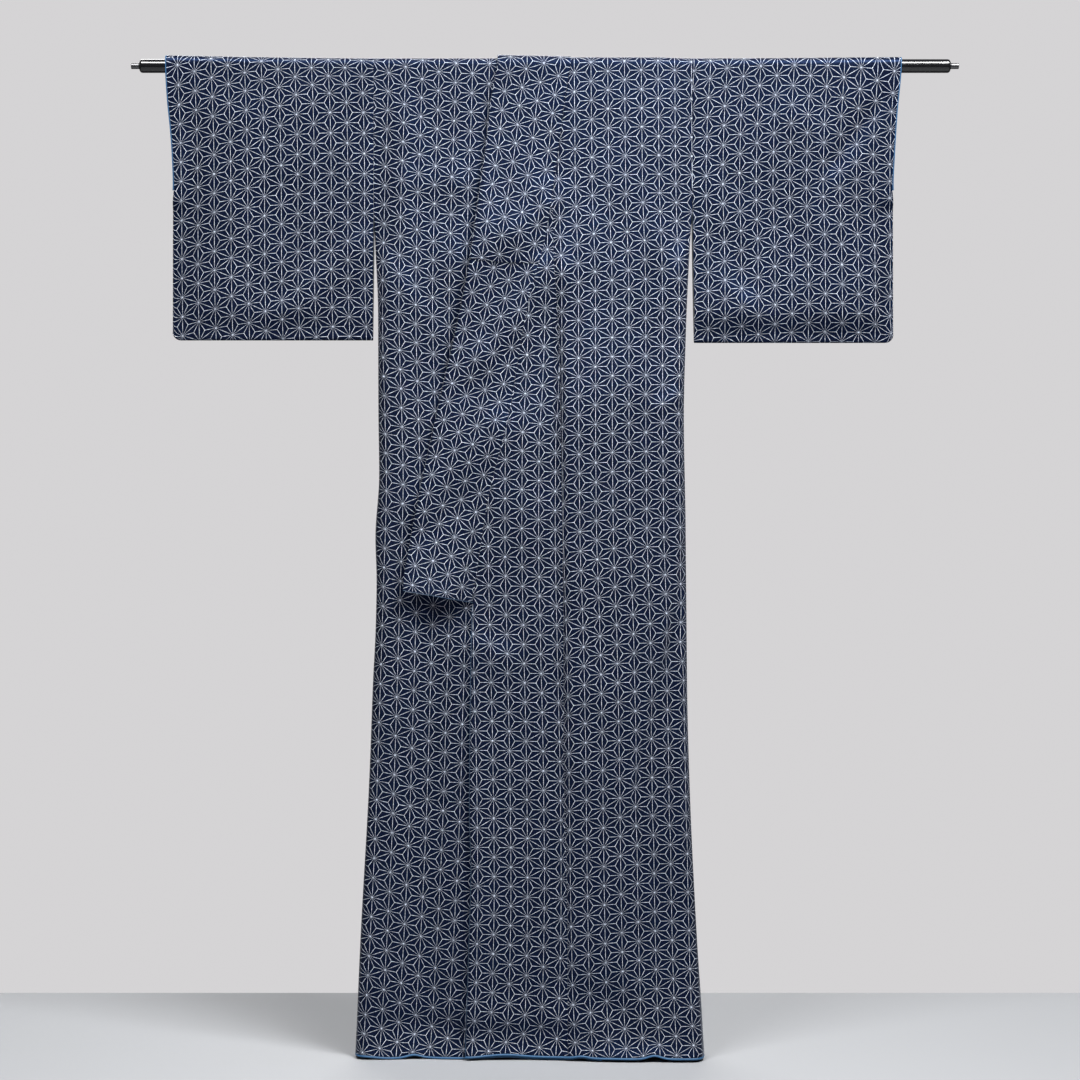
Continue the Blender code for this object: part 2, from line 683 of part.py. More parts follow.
def sleeve_point(sleeve, share, part):
    """A point of the sleeve's ring: share across, part 0 to 5 round from the top."""
    low_x = along(sleeve.seam, sleeve.bottom)
    low_x += (sleeve.cuff[-1].x - low_x) * share
    bottom = sleeve_bottom(sleeve, low_x)
    fold_radius = sleeve_depth(sleeve, low_x, bottom, FRONT)
    hang = bottom - fold_radius
    part = part % 5.0
    if 2.0 < part < 3.0:
        turn = (part - 2.0) * math.pi
        return np.array((low_x, -fold_radius * math.cos(turn), -hang - fold_radius * math.sin(turn)))
    face = FRONT if part <= 2.0 else BACK
    travel = part if face == FRONT else 5.0 - part
    drop = max(travel - 1.0, 0.0) * hang
    rise = math.cos(travel * QUARTER) * TOP_DEPTH if travel < 1.0 else 0.0
    seam_x = along(sleeve.seam, drop)
    x = seam_x + (along(sleeve.cuff, drop - rise) - seam_x) * share
    if travel <= 1.0:
        return np.array((x, -face * TOP_DEPTH * math.sin(travel * QUARTER), rise))
    depth = sleeve_depth(sleeve, x, drop, face)
    depth += (fold_radius - depth) * ease((travel - 2.0 + FOLD_CLOSING) / FOLD_CLOSING)
    return np.array((x, -face * depth, -drop))


def sleeve_parts():
    """Places round the sleeve's ring: over the rod, down the front, under and up."""
    parts = [step / ARC_STEPS for step in range(ARC_STEPS)]
    parts += [1.0 + step / SLEEVE_ROWS for step in range(SLEEVE_ROWS)]
    parts += [2.0 + step / BOTTOM_STEPS for step in range(BOTTOM_STEPS)]
    parts += [3.0 + step / SLEEVE_ROWS for step in range(SLEEVE_ROWS)]
    parts += [4.0 + step / ARC_STEPS for step in range(ARC_STEPS)]
    return parts


def sleeve_shares(sleeve):
    """Places across the sleeve, closer together at the round corner and the seams."""
    width = abs(sleeve.cuff[-1].x - sleeve.seam[-1].x)
    corner = SLEEVE_CORNER_RADIUS / width
    shares = list(np.linspace(SEAM_GAP / 2 / width, 1.0 - corner, SLEEVE_COLUMNS - 2))
    return shares + [1.0 - corner * part for part in CORNER_PARTS] + [1.0]


def sleeve_grid(sleeve, shares, parts):
    points = []
    normals = []
    for part in parts:
        row = []
        row_normals = []
        for share in shares:
            row.append(sleeve_point(sleeve, share, part))
            low = max(share - RING_STEP, 0.0)
            high = min(share + RING_STEP, 1.0)
            across = sleeve_point(sleeve, high, part) - sleeve_point(sleeve, low, part)
            ahead = sleeve_point(sleeve, share, part + RING_STEP)
            behind = sleeve_point(sleeve, share, part - RING_STEP)
            normal = np.cross(across, ahead - behind) * -sleeve.side
            row_normals.append(normal / np.linalg.norm(normal))
        points.append(row)
        normals.append(row_normals)
    return points, normals


def build_sleeve(name, sleeve, material):
    points, normals = sleeve_grid(sleeve, sleeve_shares(sleeve), sleeve_parts())
    return wall(name, points, normals, CLOTH, material, ring=True)


def cuff_lining(name, sleeve, material):
    """The lining's thin edge past the cuff, from the opening's front over the rod."""
    length = (CUFF_OPENING - CUFF_ROLL_MARGIN) / sleeve.bottom
    parts = [1.0 + length * (1 - row / CUFF_LINING_ROWS) for row in range(CUFF_LINING_ROWS)]
    parts += [1.0 - step / ARC_STEPS for step in range(ARC_STEPS)]
    back = [(5.0 - part) % 5.0 for part in reversed(parts)]
    grid, normals = sleeve_grid(sleeve, [1.0], parts + [0.0] + back)
    points = []
    rims = []
    for row, row_normals in zip(grid, normals):
        near = row[0] + np.array((sleeve.side * SEAM_GAP, 0.0, 0.0))
        far = near + np.array((sleeve.side * CUFF_ROLL_WIDTH, 0.0, 0.0))
        points.append([near, far])
        rims.append([row_normals[0], row_normals[0]])
    return wall(name, points, rims, CUFF_ROLL, material)


def hem_lining(name, upper, material):
    """The lining rolled out past the hem, along the front, round the side and behind."""
    okumi_run, okumi_places = okumi_rows(upper)[-1]
    front_places = body_row(1.0 + HEM_DROP, upper)
    back_places = list(reversed(body_row(-1.0 - HEM_DROP, upper)))
    stretches = (
        (okumi_run, okumi_places, lambda x, run: okumi_point(x, run, upper)),
        (1.0 + HEM_DROP, front_places, lambda x, run: body_point(x, run, upper)),
        (-1.0 - HEM_DROP, back_places, lambda x, run: body_point(x, run, upper)),
    )
    line = []
    for run, places, point_at in stretches:
        row, row_normals = grid_on_body([(run, places)], upper, point_at)
        step = SLOPE_STEP if run > 0 else -SLOPE_STEP
        for point, normal, x in zip(row[0], row_normals[0], places):
            downward = point_at(x, run + step) - point_at(x, run - step)
            line.append((point, normal, downward / np.linalg.norm(downward)))
        if run == okumi_run and point_at is stretches[0][2]:
            line.pop()
    top = [point + down * SEAM_GAP for point, normal, down in line]
    bottom = [point + down * (SEAM_GAP + HEM_ROLL_HEIGHT) for point, normal, down in line]
    normals = [normal for point, normal, down in line]
    return wall(name, [top, bottom], [normals, normals], HEM_ROLL, material)


def cylinder(name, radius, length, segments, centre_x, rounding, material):
    """A rod or peg along X."""
    shape = bmesh.new()
    bmesh.ops.create_cone(
        shape, cap_ends=True, segments=segments, radius1=radius, radius2=radius, depth=length)
    if rounding:
        rims = [edge for edge in shape.edges if abs(edge.verts[0].co.z - edge.verts[1].co.z) < 1e-6]
        bmesh.ops.bevel(
            shape, geom=rims, offset=rounding, segments=3, profile=0.5, affect="EDGES")
    mesh = bpy.data.meshes.new(name)
    shape.to_mesh(mesh)
    shape.free()
    item = add_object(name, mesh, material)
    item.rotation_euler = (0.0, QUARTER, 0.0)
    item.location = (centre_x, 0.0, 0.0)
    return item


def main():
    clear_scene()
    komon = finish_material("komon_silk", NAVY, 0.75)
    lining = finish_material("lining_silk", LINING_BLUE, 0.6)
    lacquer = finish_material("lacquer", LACQUER, 0.18)
    steel = finish_material("steel", STEEL, 0.3, 1.0)

    cylinder("rod", ROD_RADIUS, ROD_LENGTH, 32, 0.0, ROD_END_ROUNDING, lacquer)
    peg_x = ROD_LENGTH / 2 + SEAM_GAP + PEG_LENGTH / 2
    cylinder("rod_peg_left", PEG_RADIUS, PEG_LENGTH, 20, peg_x, 0.0, steel)
    cylinder("rod_peg_right", PEG_RADIUS, PEG_LENGTH, 20, -peg_x, 0.0, steel)

    body_half("right_body", False, komon)
    body_half("left_body", True, komon)
    okumi("right_okumi", False, komon)
    okumi("left_okumi", True, komon)
    build_sleeve("right_sleeve", RIGHT_SLEEVE, komon)
    build_sleeve("left_sleeve", LEFT_SLEEVE, komon)
    strip_points, strip_normals = collar("collar", komon)
    collar_cover("collar_cover", strip_points, strip_normals, komon)
    hem_lining("right_hem_lining", False, lining)
    hem_lining("left_hem_lining", True, lining)
    cuff_lining("right_cuff_lining", RIGHT_SLEEVE, lining)
    cuff_lining("left_cuff_lining", LEFT_SLEEVE, lining)


main()
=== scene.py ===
"""The looks of a lined komon kimono hung on a lacquered rod.

Metres, +Z up. The origin is the middle of the rod's axis, the rod runs along X and the
front of the kimono faces -Y. Left and right are the wearer's, so the left side is at +X.

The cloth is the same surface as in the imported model, divided much more finely, with its
smaller folds, puckered seams and rounded edges. A place on it is named by x, its place
across, and run, its place along: a run from -1 to 1 goes over the rod, and run 1.25 hangs
0.25 m below the rod's axis in front, and run -1.25 the same behind.
"""

import math
from collections import namedtuple

import bmesh
import bpy
import numpy as np
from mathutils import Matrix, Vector


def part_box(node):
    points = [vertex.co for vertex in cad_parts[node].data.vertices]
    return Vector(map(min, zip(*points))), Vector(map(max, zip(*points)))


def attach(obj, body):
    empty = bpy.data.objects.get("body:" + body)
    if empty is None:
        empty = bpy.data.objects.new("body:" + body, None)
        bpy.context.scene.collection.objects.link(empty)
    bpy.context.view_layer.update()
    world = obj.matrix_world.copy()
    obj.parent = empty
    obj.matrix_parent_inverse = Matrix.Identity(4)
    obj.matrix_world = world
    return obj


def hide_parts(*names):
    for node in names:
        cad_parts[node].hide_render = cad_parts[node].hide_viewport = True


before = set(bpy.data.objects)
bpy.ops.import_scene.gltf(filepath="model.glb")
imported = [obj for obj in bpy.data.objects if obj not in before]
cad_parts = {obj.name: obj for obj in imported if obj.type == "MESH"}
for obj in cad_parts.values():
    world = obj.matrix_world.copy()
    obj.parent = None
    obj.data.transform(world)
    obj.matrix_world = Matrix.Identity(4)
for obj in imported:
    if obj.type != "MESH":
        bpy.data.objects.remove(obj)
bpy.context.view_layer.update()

# Sizes read from the frame
rod_low, rod_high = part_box("rod")
peg_low, peg_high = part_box("rod_peg_left")
ROD_RADIUS = (rod_high[2] - rod_low[2]) / 2
ROD_LENGTH = rod_high[0] - rod_low[0]
PEG_RADIUS = (peg_high[2] - peg_low[2]) / 2
PEG_LENGTH = peg_high[0] - peg_low[0]

# Driving sizes, as in the model
ROD_END_ROUNDING = 0.005
PEG_END_ROUNDING = 0.0006
CLOTH = 0.0014
COVER_CLOTH = 0.0012
SEAM_GAP = 0.0003
ROD_CLEARANCE = 0.0004
MIDDLE_X = -0.0187
HEM_DROP = 1.6855
SLEEVE_SEAM_DROP = 0.240
SIDE_SEAM_DROP = 0.380
OKUMI_TOP_DROP = 0.231
COLLAR_SEAM_END_DROP = 0.917
COLLAR_END_SLANT = 0.021
COVER_END_DROP = 0.346
COVER_END_SLANT = 0.008
COVER_SLANT_ROWS = 3
NECK_BAND_DROP = 0.055
CUFF_OPENING = 0.230
SLEEVE_CORNER_RADIUS = 0.014
CORNER_TURN = 0.985
RIGHT_SLEEVE_BOTTOM = 0.4692
LEFT_SLEEVE_BOTTOM = 0.4735

# How the layers lie on each other
LAYER_LIFT_AT_ROD = 0.0018
LAYER_LIFT = 0.0042
LAYER_LIFT_DROP = 0.08
SIDE_ROUNDING = 0.028
SIDE_SQUARENESS = 3.4
SIDE_HALF_GAP = 0.00069
CUFF_HALF_GAP = 0.0017
SEAM_HALF_GAP = 0.00069
SEAM_PINCH = 0.008
SHOULDER_EASE = 0.06
FOLDS_START = 0.12
FOLD_END_SHARE = 0.22
NECK_STEP_TOP = 0.030
NECK_STEP_BOTTOM = 0.046
NECK_TUCK = 0.0024
NECK_TUCK_HALF_WIDTH = 0.105
NECK_TUCK_EDGE = 0.04
NECK_TUCK_TOP = 0.012
NECK_TUCK_FULL = 0.028
NECK_TUCK_LOW = 0.07
NECK_TUCK_END = 0.14
COLLAR_EDGE_FLARE = 0.0050
COLLAR_FLARE_START = 0.10
COLLAR_FLARE_FULL = 0.25
COLLAR_END_FLARE = 0.0240
COLLAR_END_FLARE_WIDTH = 0.055
COLLAR_END_FLARE_HEIGHT = 0.19
COLLAR_END_FLARE_BEND = 1.6
COLLAR_SLANT_START = 0.70
COLLAR_TOP_RISE = 0.0030
COLLAR_TOP_RISE_DROP = 0.05
COLLAR_TOP_RISE_RUN = -0.4
OKUMI_EDGE_FLARE = 0.0076
OKUMI_FLARE_START = 0.960
OKUMI_FLARE_FULL = 1.260
FLARE_WIDTH = 0.045
EDGE_CURL = 0.0026
EDGE_CURL_WIDTH = 0.008
EDGE_COLUMN = 0.0017
EDGE_COLUMNS = 12
HEM_BEND_DROP = 1.645
HEM_FRONT_KICK = 0.0085
HEM_BACK_KICK = 0.010
UNDER_HEM_EXTRA = 0.0035
HEM_SHIFT_CLEAR = 0.010
HEM_SHIFT_FULL = 0.060

# How the sleeve opens and closes
SLEEVE_LOW_HALF_GAP = 0.0055
SLEEVE_SEAM_EASE = 0.11
CUFF_EASE = 0.045
CUFF_CLOSING = 0.020
SLEEVE_FOLD_MARGIN = 0.035
SLEEVE_FOLD_TOP = 0.10
SLEEVE_FOLD_BOTTOM = 0.026
SLEEVE_TOP_LIFT_DROP = 0.06
SLEEVE_TOP_LIFT_BEND = 1.4
SLEEVE_LOOSE_DROP = 0.06
BACK_FOLD_SHARE = 0.6
FOLD_CLOSING = 0.1

# The left front panel stands proud of the overlap that it is sewn to
SEAM_STEP = 0.0076
SEAM_STEP_WIDTH = 0.024
SEAM_STEP_LEAD = 0.011
SEAM_STEP_FADE = 0.10
SEAM_STEP_START = 0.38
SEAM_STEP_LOW = 1.25
SEAM_STEP_END = 1.62
SEAM_STEP_LOSS = 0.55

# The lining's rolled edges
HEM_ROLL = 0.0020
HEM_ROLL_HEIGHT = 0.0036
HEM_ROLL_PROBE = 0.004
CUFF_ROLL = 0.0012
CUFF_ROLL_WIDTH = 0.0022
CUFF_ROLL_MARGIN = 0.01
CUFF_ROLL_STEP = 0.01
CUFF_ROLL_PROBE = 0.99
EDGE_ROLL = 0.0012
EDGE_ROLL_WIDTH = 0.0012
EDGE_ROLL_MARGIN = 0.004

# Where the lining changes from white silk to the blue facing
FACING_TOP_DROP = 1.02
CUFF_FACING_WIDTH = 0.06
WHITE_SLOT = 1
BLUE_SLOT = 2

# How finely the cloth and the round pieces are divided
COLUMN_STEP = 0.0052
ROW_STEP = 0.0045
ARC_STEPS = 12
ROUND_COLUMNS = 9
CORNER_COLUMNS = 7
BOTTOM_STEPS = 10
RIM_STEPS = 2
RIM_PULL_MOST = 0.35
BODY_GRID_WIDTH = 0.245
OKUMI_GRID_WIDTH = 0.165
COLLAR_GRID_WIDTH = 0.130
ABOVE_OKUMI = 0.0005
BELOW_OKUMI = 0.001
TUBE_SIDES = 10
ROD_SIDES = 96
ROD_END_STEPS = 6
PEG_SIDES = 48
PEG_END_STEPS = 3
MIDDLE_RINGS = 41
MIDDLE_INSET = 0.02
WELD_DISTANCE = 1e-6
NO_LENGTH = 1e-12
LEAST_STEP = 1e-9
LEAST_GROWTH = 1e-6
SHARP_ANGLE = math.radians(70)

# The pattern's stars stand this far apart, in upright columns
STAR_SPACING = 0.0330
COLUMN_SPACING = STAR_SPACING * math.sqrt(3) / 2
LINE_WIDTH = 0.00070
THREAD = 0.0006
PATTERN_LENGTH = 1.70
LEAN_MOST = 0.4
LEAN_WINDOW = 41

QUARTER = math.pi / 2


def table(kind, *rows):
    """Rows of plain numbers as rows with names."""
    return tuple(kind(*row) for row in rows)


# Edges of the hung cloth as seen from the front, measured down from the rod's axis
Edge = namedtuple("Edge", "drop x")
RIGHT_SIDE = table(
    Edge,
    (0.0, -0.2924), (0.24, -0.292), (0.31, -0.2895), (0.42, -0.2848), (0.59, -0.2842),
    (0.7, -0.2828), (0.807, -0.2892), (0.88, -0.2873), (0.96, -0.2888), (1.05, -0.2932),
    (1.22, -0.2998), (1.49, -0.3146), (1.69, -0.3234),
)
LEFT_SIDE = table(
    Edge,
    (0.0, 0.2516), (0.235, 0.2514), (0.31, 0.247), (0.47, 0.24), (0.6, 0.2367), (0.78, 0.2398),
    (0.93, 0.2412), (1.08, 0.2427), (1.24, 0.247), (1.49, 0.259), (1.6, 0.266), (1.69, 0.271),
)
COLLAR_FREE_EDGE = table(
    Edge,
    (0.0, -0.0812), (0.06, -0.0927), (0.14, -0.1012), (0.22, -0.1122), (0.32, -0.1261),
    (0.465, -0.1547), (0.585, -0.1819), (0.75, -0.2166), (0.9, -0.24),
)
COLLAR_SEAM = table(
    Edge,
    (0.0, 0.0442), (0.045, 0.0366), (0.155, 0.0221), (0.23, 0.0119), (0.315, -0.0034),
    (0.38, -0.0221), (0.446, -0.0357), (0.613, -0.064), (0.73, -0.0944), (0.83, -0.1105),
    (0.917, -0.1229),
)
OKUMI_SEAM = table(
    Edge,
    (0.225, 0.0132), (0.315, 0.014), (0.43, 0.0218), (0.57, 0.0255), (0.9, 0.0306),
    (1.25, 0.0328), (1.42, 0.0374), (1.69, 0.0391),
)
OKUMI_EDGE = table(
    Edge,
    (0.917, -0.1229), (1.08, -0.1261), (1.28, -0.1277), (1.37, -0.125), (1.51, -0.1289),
    (1.69, -0.1345),
)
RIGHT_CUFF = table(
    Edge,
    (-0.02, -0.6466), (0.013, -0.646), (0.06, -0.643), (0.113, -0.6379), (0.152, -0.6352),
    (0.204, -0.6334), (0.245, -0.6364), (0.47, -0.637),
)
LEFT_CUFF = table(
    Edge,
    (-0.02, 0.6078), (0.015, 0.606), (0.083, 0.5996), (0.152, 0.5955), (0.204, 0.5932),
    (0.245, 0.5954), (0.474, 0.596),
)
RIGHT_SLEEVE_SEAM = table(
    Edge,
    (-0.02, -0.2924), (0.24, -0.2924), (0.474, -0.294),
)
LEFT_SLEEVE_SEAM = table(
    Edge,
    (-0.02, 0.2516), (0.24, 0.2516), (0.474, 0.2548),
)

# How far the cloth stands off the plane of the rod's axis, down the front and the back
Section = namedtuple("Section", "drop depth")
FRONT_SECTIONS = table(
    Section,
    (0.0, 0.0126), (0.06, 0.0128), (0.14, 0.0145), (0.28, 0.018), (0.5, 0.022), (0.85, 0.024),
    (1.25, 0.025), (1.69, 0.028),
)
BACK_SECTIONS = table(
    Section,
    (0.0, 0.0126), (0.06, 0.0128), (0.16, 0.015), (0.32, 0.0185), (0.65, 0.023), (1.25, 0.024),
    (1.69, 0.025),
)
TOP_DEPTH = FRONT_SECTIONS[0].depth
SLEEVE_SECTIONS = table(
    Section,
    (0.0, 0.0126), (0.05, 0.0124), (0.15, 0.0108), (0.28, 0.0085), (0.4, 0.0058), (0.48, 0.0036),
)

# Soft folds along a line, each flank with its own width: a height below 0 is a valley
Fold = namedtuple("Fold", "x1 drop1 x2 drop2 above below height")
FRONT_FOLDS = table(
    Fold,
    (0.012, 0.48, 0.026, 1.24, 0.02, 0.034, -0.0042),
    (-0.05, 0.3, 0.0, 0.246, 0.06, 0.022, 0.005),
    (-0.13, 0.338, -0.052, 0.298, 0.045, 0.05, 0.0048),
    (-0.098, 0.5, -0.006, 0.356, 0.02, 0.032, 0.007),
    (-0.214, 0.756, -0.09, 0.626, 0.03, 0.032, 0.006),
    (-0.06, 0.645, 0.235, 0.56, 0.085, 0.17, 0.006),
    (-0.035, 0.77, 0.015, 0.765, 0.045, 0.075, 0.0036),
    (0.136, 1.272, 0.204, 0.983, 0.05, 0.014, 0.0044),
    (0.204, 0.983, 0.23, 0.812, 0.05, 0.014, 0.0044),
    (0.2, 0.64, 0.165, 0.86, 0.042, 0.036, 0.003),
    (0.118, 1.36, 0.108, 1.54, 0.046, 0.04, 0.0034),
    (-0.044, 0.98, -0.036, 1.6, 0.036, 0.036, -0.0034),
    (-0.262, 0.42, -0.266, 1.0, 0.055, 0.026, 0.0044),
    (-0.19, 1.0, -0.198, 1.6, 0.03, 0.055, -0.0085),
    (0.205, 0.316, 0.256, 0.316, 0.045, 0.045, 0.0036),
    (-0.262, 0.08, -0.262, 0.38, 0.05, 0.026, 0.004),
    (0.15, 1.74, 0.33, 1.66, 0.13, 0.05, 0.019),
    (-0.28, 0.205, -0.15, 0.205, 0.034, 0.022, 0.0022),
)
BACK_FOLDS = table(
    Fold,
    (-0.19, 0.1, -0.215, 1.64, 0.036, 0.036, 0.0042),
    (-0.09, 0.22, -0.1, 1.5, 0.03, 0.03, 0.0034),
    (0.07, 0.16, 0.075, 1.62, 0.034, 0.034, 0.004),
    (0.165, 0.4, 0.185, 1.64, 0.032, 0.032, 0.0036),
)
RIGHT_SLEEVE_FOLDS = table(
    Fold,
    (-0.462, 0.436, -0.33, 0.312, 0.018, 0.036, 0.004),
    (-0.52, 0.1, -0.56, 0.38, 0.036, 0.036, 0.0034),
    (-0.632, 0.425, -0.294, 0.425, 0.08, 0.024, 0.0026),
    (-0.425, 0.23, -0.445, 0.38, 0.03, 0.03, -0.0022),
)
LEFT_SLEEVE_FOLDS = table(
    Fold,
    (0.306, 0.3, 0.352, 0.376, 0.02, 0.022, -0.0012),
    (0.285, 0.412, 0.335, 0.418, 0.03, 0.05, 0.0008),
    (0.44, 0.12, 0.5, 0.39, 0.036, 0.036, 0.003),
    (0.265, 0.441, 0.58, 0.443, 0.105, 0.03, 0.009),
)

# The under layer falls back behind the edges that lie over it
UNDER_FOLDS = table(
    Fold,
    (-0.082, 0.08, -0.15, 0.5, 0.03, 0.03, -0.007),
    (-0.144, 0.5, -0.2, 0.76, 0.03, 0.03, -0.004),
    (-0.215, 0.9, -0.13, 0.96, 0.02, 0.03, -0.003),
    (-0.118, 1.06, -0.126, 1.62, 0.03, 0.04, -0.0018),
    (-0.289, 1.252, -0.145, 1.262, 0.008, 0.008, -0.0018),
    (-0.27, 1.638, -0.11, 1.646, 0.02, 0.016, -0.004),
)

# Smaller creases that only the fine cloth shows
FRONT_CREASES = table(
    Fold,
    (-0.062, 0.325, -0.098, 0.455, 0.013, 0.018, -0.0028),
    (-0.086, 0.345, -0.026, 0.284, 0.011, 0.013, -0.0014),
    (-0.135, 0.56, -0.06, 0.49, 0.013, 0.016, -0.0022),
    (-0.195, 0.8, -0.085, 0.7, 0.014, 0.014, -0.0013),
    (0.078, 0.29, 0.064, 0.48, 0.02, 0.012, 0.0014),
    (0.09, 0.76, 0.1, 1.25, 0.014, 0.014, -0.001),
    (-0.02, 0.7, -0.012, 1.25, 0.014, 0.014, 0.001),
    (-0.11, 0.998, -0.072, 1.012, 0.024, 0.032, 0.0056),
    (0.146, 1.272, 0.214, 0.983, 0.01, 0.011, -0.0056),
    (0.214, 0.983, 0.24, 0.812, 0.01, 0.012, -0.0056),
    (0.19, 0.59, 0.232, 0.566, 0.016, 0.012, 0.0034),
    (0.02, 1.3, 0.08, 1.62, 0.013, 0.013, 0.0009),
    (-0.268, 0.44, -0.262, 0.76, 0.01, 0.01, -0.0009),
    (-0.18, 1.06, -0.19, 1.5, 0.014, 0.014, 0.0011),
    (-0.285, 1.25, -0.292, 1.6, 0.01, 0.01, -0.0008),
    (0.235, 0.33, 0.16, 0.48, 0.013, 0.013, 0.001),
    (-0.27, 0.33, -0.185, 0.46, 0.013, 0.013, 0.001),
    (0.17, 1.38, 0.18, 1.64, 0.012, 0.012, -0.001),
    (-0.119, 1.283, 0.045, 1.292, 0.008, 0.008, -0.0013),
    (0.05, 1.596, 0.125, 1.612, 0.03, 0.03, -0.0042),
    (-0.12, 1.622, 0.04, 1.624, 0.03, 0.018, 0.0052),
)
BACK_CREASES = table(
    Fold,
    (-0.14, 0.3, -0.15, 1.2, 0.014, 0.014, -0.001),
    (0.11, 0.45, 0.12, 1.3, 0.013, 0.013, -0.001),
    (-0.25, 0.6, -0.262, 1.5, 0.012, 0.012, -0.0009),
    (0.21, 0.7, 0.222, 1.55, 0.012, 0.012, -0.0009),
    (-0.03, 0.9, -0.028, 1.64, 0.012, 0.012, 0.0008),
    (0.03, 1.1, 0.034, 1.64, 0.012, 0.012, 0.0009),
    (-0.29, 1.25, 0.25, 1.262, 0.008, 0.008, -0.0012),
    (-0.27, 0.62, 0.09, 0.56, 0.04, 0.05, 0.003),
)
RIGHT_SLEEVE_CREASES = table(
    Fold,
    (-0.47, 0.09, -0.5, 0.34, 0.013, 0.013, -0.0012),
    (-0.4, 0.16, -0.41, 0.3, 0.012, 0.012, 0.001),
    (-0.612, 0.12, -0.606, 0.32, 0.022, 0.016, -0.0034),
    (-0.34, 0.36, -0.43, 0.43, 0.012, 0.012, 0.0008),
)
LEFT_SLEEVE_CREASES = table(
    Fold,
    (0.38, 0.1, 0.395, 0.3, 0.013, 0.013, 0.0009),
    (0.47, 0.2, 0.52, 0.4, 0.012, 0.012, -0.0009),
    (0.5, 0.16, 0.582, 0.05, 0.016, 0.018, -0.0044),
    (0.3, 0.37, 0.38, 0.44, 0.012, 0.012, 0.0008),
)

# Slow waves that keep the cloth from looking pressed flat
Wave = namedtuple("Wave", "across down phase height")
SLACK = (
    Wave(0.210, 0.310, 0.4, 0.00050), Wave(0.110, 0.470, 1.9, 0.00036),
    Wave(0.077, 0.190, 3.1, 0.00024), Wave(-0.140, 0.150, 5.0, 0.00026),
)

# Puckers along a seam
Ripple = namedtuple("Ripple", "length phase height")
PUCKERS = (Ripple(0.0190, 0.3, 0.00022), Ripple(0.0310, 2.2, 0.00026), Ripple(0.0470, 4.0, 0.00022))
PUCKER_WIDTH = 0.011
PUCKER_START_RUN = 1.03
PUCKER_FULL_RUN = 1.09
SEAM_DIP = 0.0007
SEAM_DIP_WIDTH = 0.0042

# The seam's step is higher in some places than in others
SEAM_STEP_RIPPLES = (Ripple(0.43, 5.3, 0.22), Ripple(0.17, 1.1, 0.10))

# Where the hem lifts off the floor
Rise = namedtuple("Rise", "x width height")
HEM_RISES = (
    Rise(-0.2227, 0.016, 0.0050), Rise(-0.0680, 0.034, 0.0035), Rise(0.0620, 0.014, 0.0030),
    Rise(0.1845, 0.015, 0.0055),
)

# How the pattern lies: a column of stars, the drop of one star, and the rows' spread and lie
Weave = namedtuple("Weave", "column star_drop rows gain tilt bow")
RIGHT_BODY_WEAVE = Weave(
    table(
        Edge,
        (0.0, -0.2375), (0.127, -0.2416), (0.226, -0.2453), (0.42, -0.2484), (0.615, -0.2433),
        (0.713, -0.2411), (0.908, -0.2468), (1.107, -0.2531), (1.307, -0.2601), (1.505, -0.2698),
        (1.69, -0.2815)),
    0.0360, 1.005, 0.020, 0.17, -1.5)
LEFT_BODY_WEAVE = Weave(
    table(
        Edge,
        (0.0, 0.107), (0.203, 0.109), (0.397, 0.1142), (0.59, 0.1141), (0.788, 0.1159),
        (0.982, 0.1222), (1.182, 0.1262), (1.376, 0.1285), (1.57, 0.1325), (1.69, 0.138)),
    0.0113, 1.012, 0.0, -0.035, 0.5)
OKUMI_WEAVE = Weave(
    table(
        Edge,
        (0.23, -0.051), (0.448, -0.0571), (0.56, -0.062), (0.654, -0.0672), (0.807, -0.068),
        (0.999, -0.0644), (1.196, -0.06), (1.396, -0.058), (1.594, -0.0615), (1.69, -0.068)),
    1.0048, 0.9985, 0.0, 0.04, 0.0)
RIGHT_SLEEVE_WEAVE = Weave(
    table(
        Edge,
        (0.0, -0.5702), (0.118, -0.5658), (0.217, -0.5646), (0.316, -0.5644), (0.47, -0.5625)),
    0.0233, 1.004, 0.0, 0.17, -0.9)
LEFT_SLEEVE_WEAVE = Weave(
    table(
        Edge,
        (0.0, 0.3399), (0.113, 0.3338), (0.213, 0.3321), (0.313, 0.3353), (0.474, 0.3362)),
    0.0200, 1.004, 0.0, 0.09, -0.65)

# On the slanted collar and its cover the column is a distance from the free edge
COLLAR_WEAVE = Weave(0.0452, 0.4110, 1.034, 0.0, -0.03, 0.0)
COVER_WEAVE = Weave(0.0508, 0.0082, 1.025, 0.0, 0.15, -2.0)


def ease(value):
    """Goes smoothly from 0 to 1 as value does."""
    value = np.clip(value, 0.0, 1.0)
    return value * value * (3.0 - 2.0 * value)


def between(value, start, end):
    """Goes smoothly from 0 at start to 1 at end."""
    return ease((value - start) / (end - start))


def along(rows, drop):
    """Reads a table at a drop, on a smooth curve through its rows."""
    drops, values = np.array(rows).T
    steps = np.diff(values) / np.diff(drops)
    product = steps[:-1] * steps[1:]
    total = np.where(product > 0.0, steps[:-1] + steps[1:], 1.0)
    shared = np.where(product > 0.0, 2.0 * product / total, 0.0)
    slopes = np.concatenate((steps[:1], shared, steps[-1:]))
    place = np.clip(drop, drops[0], drops[-1])
    index = np.clip(np.searchsorted(drops, place) - 1, 0, len(steps) - 1)
    span = drops[index + 1] - drops[index]
    part = (place - drops[index]) / span
    return (
        values[index] * (2 * part**3 - 3 * part**2 + 1)
        + slopes[index] * span * (part**3 - 2 * part**2 + part)
        + values[index + 1] * (3 * part**2 - 2 * part**3)
        + slopes[index + 1] * span * (part**3 - part**2)
    )


def mirrored(x):
    """The same place on the other front, which is cut the same."""
    return 2 * MIDDLE_X - x


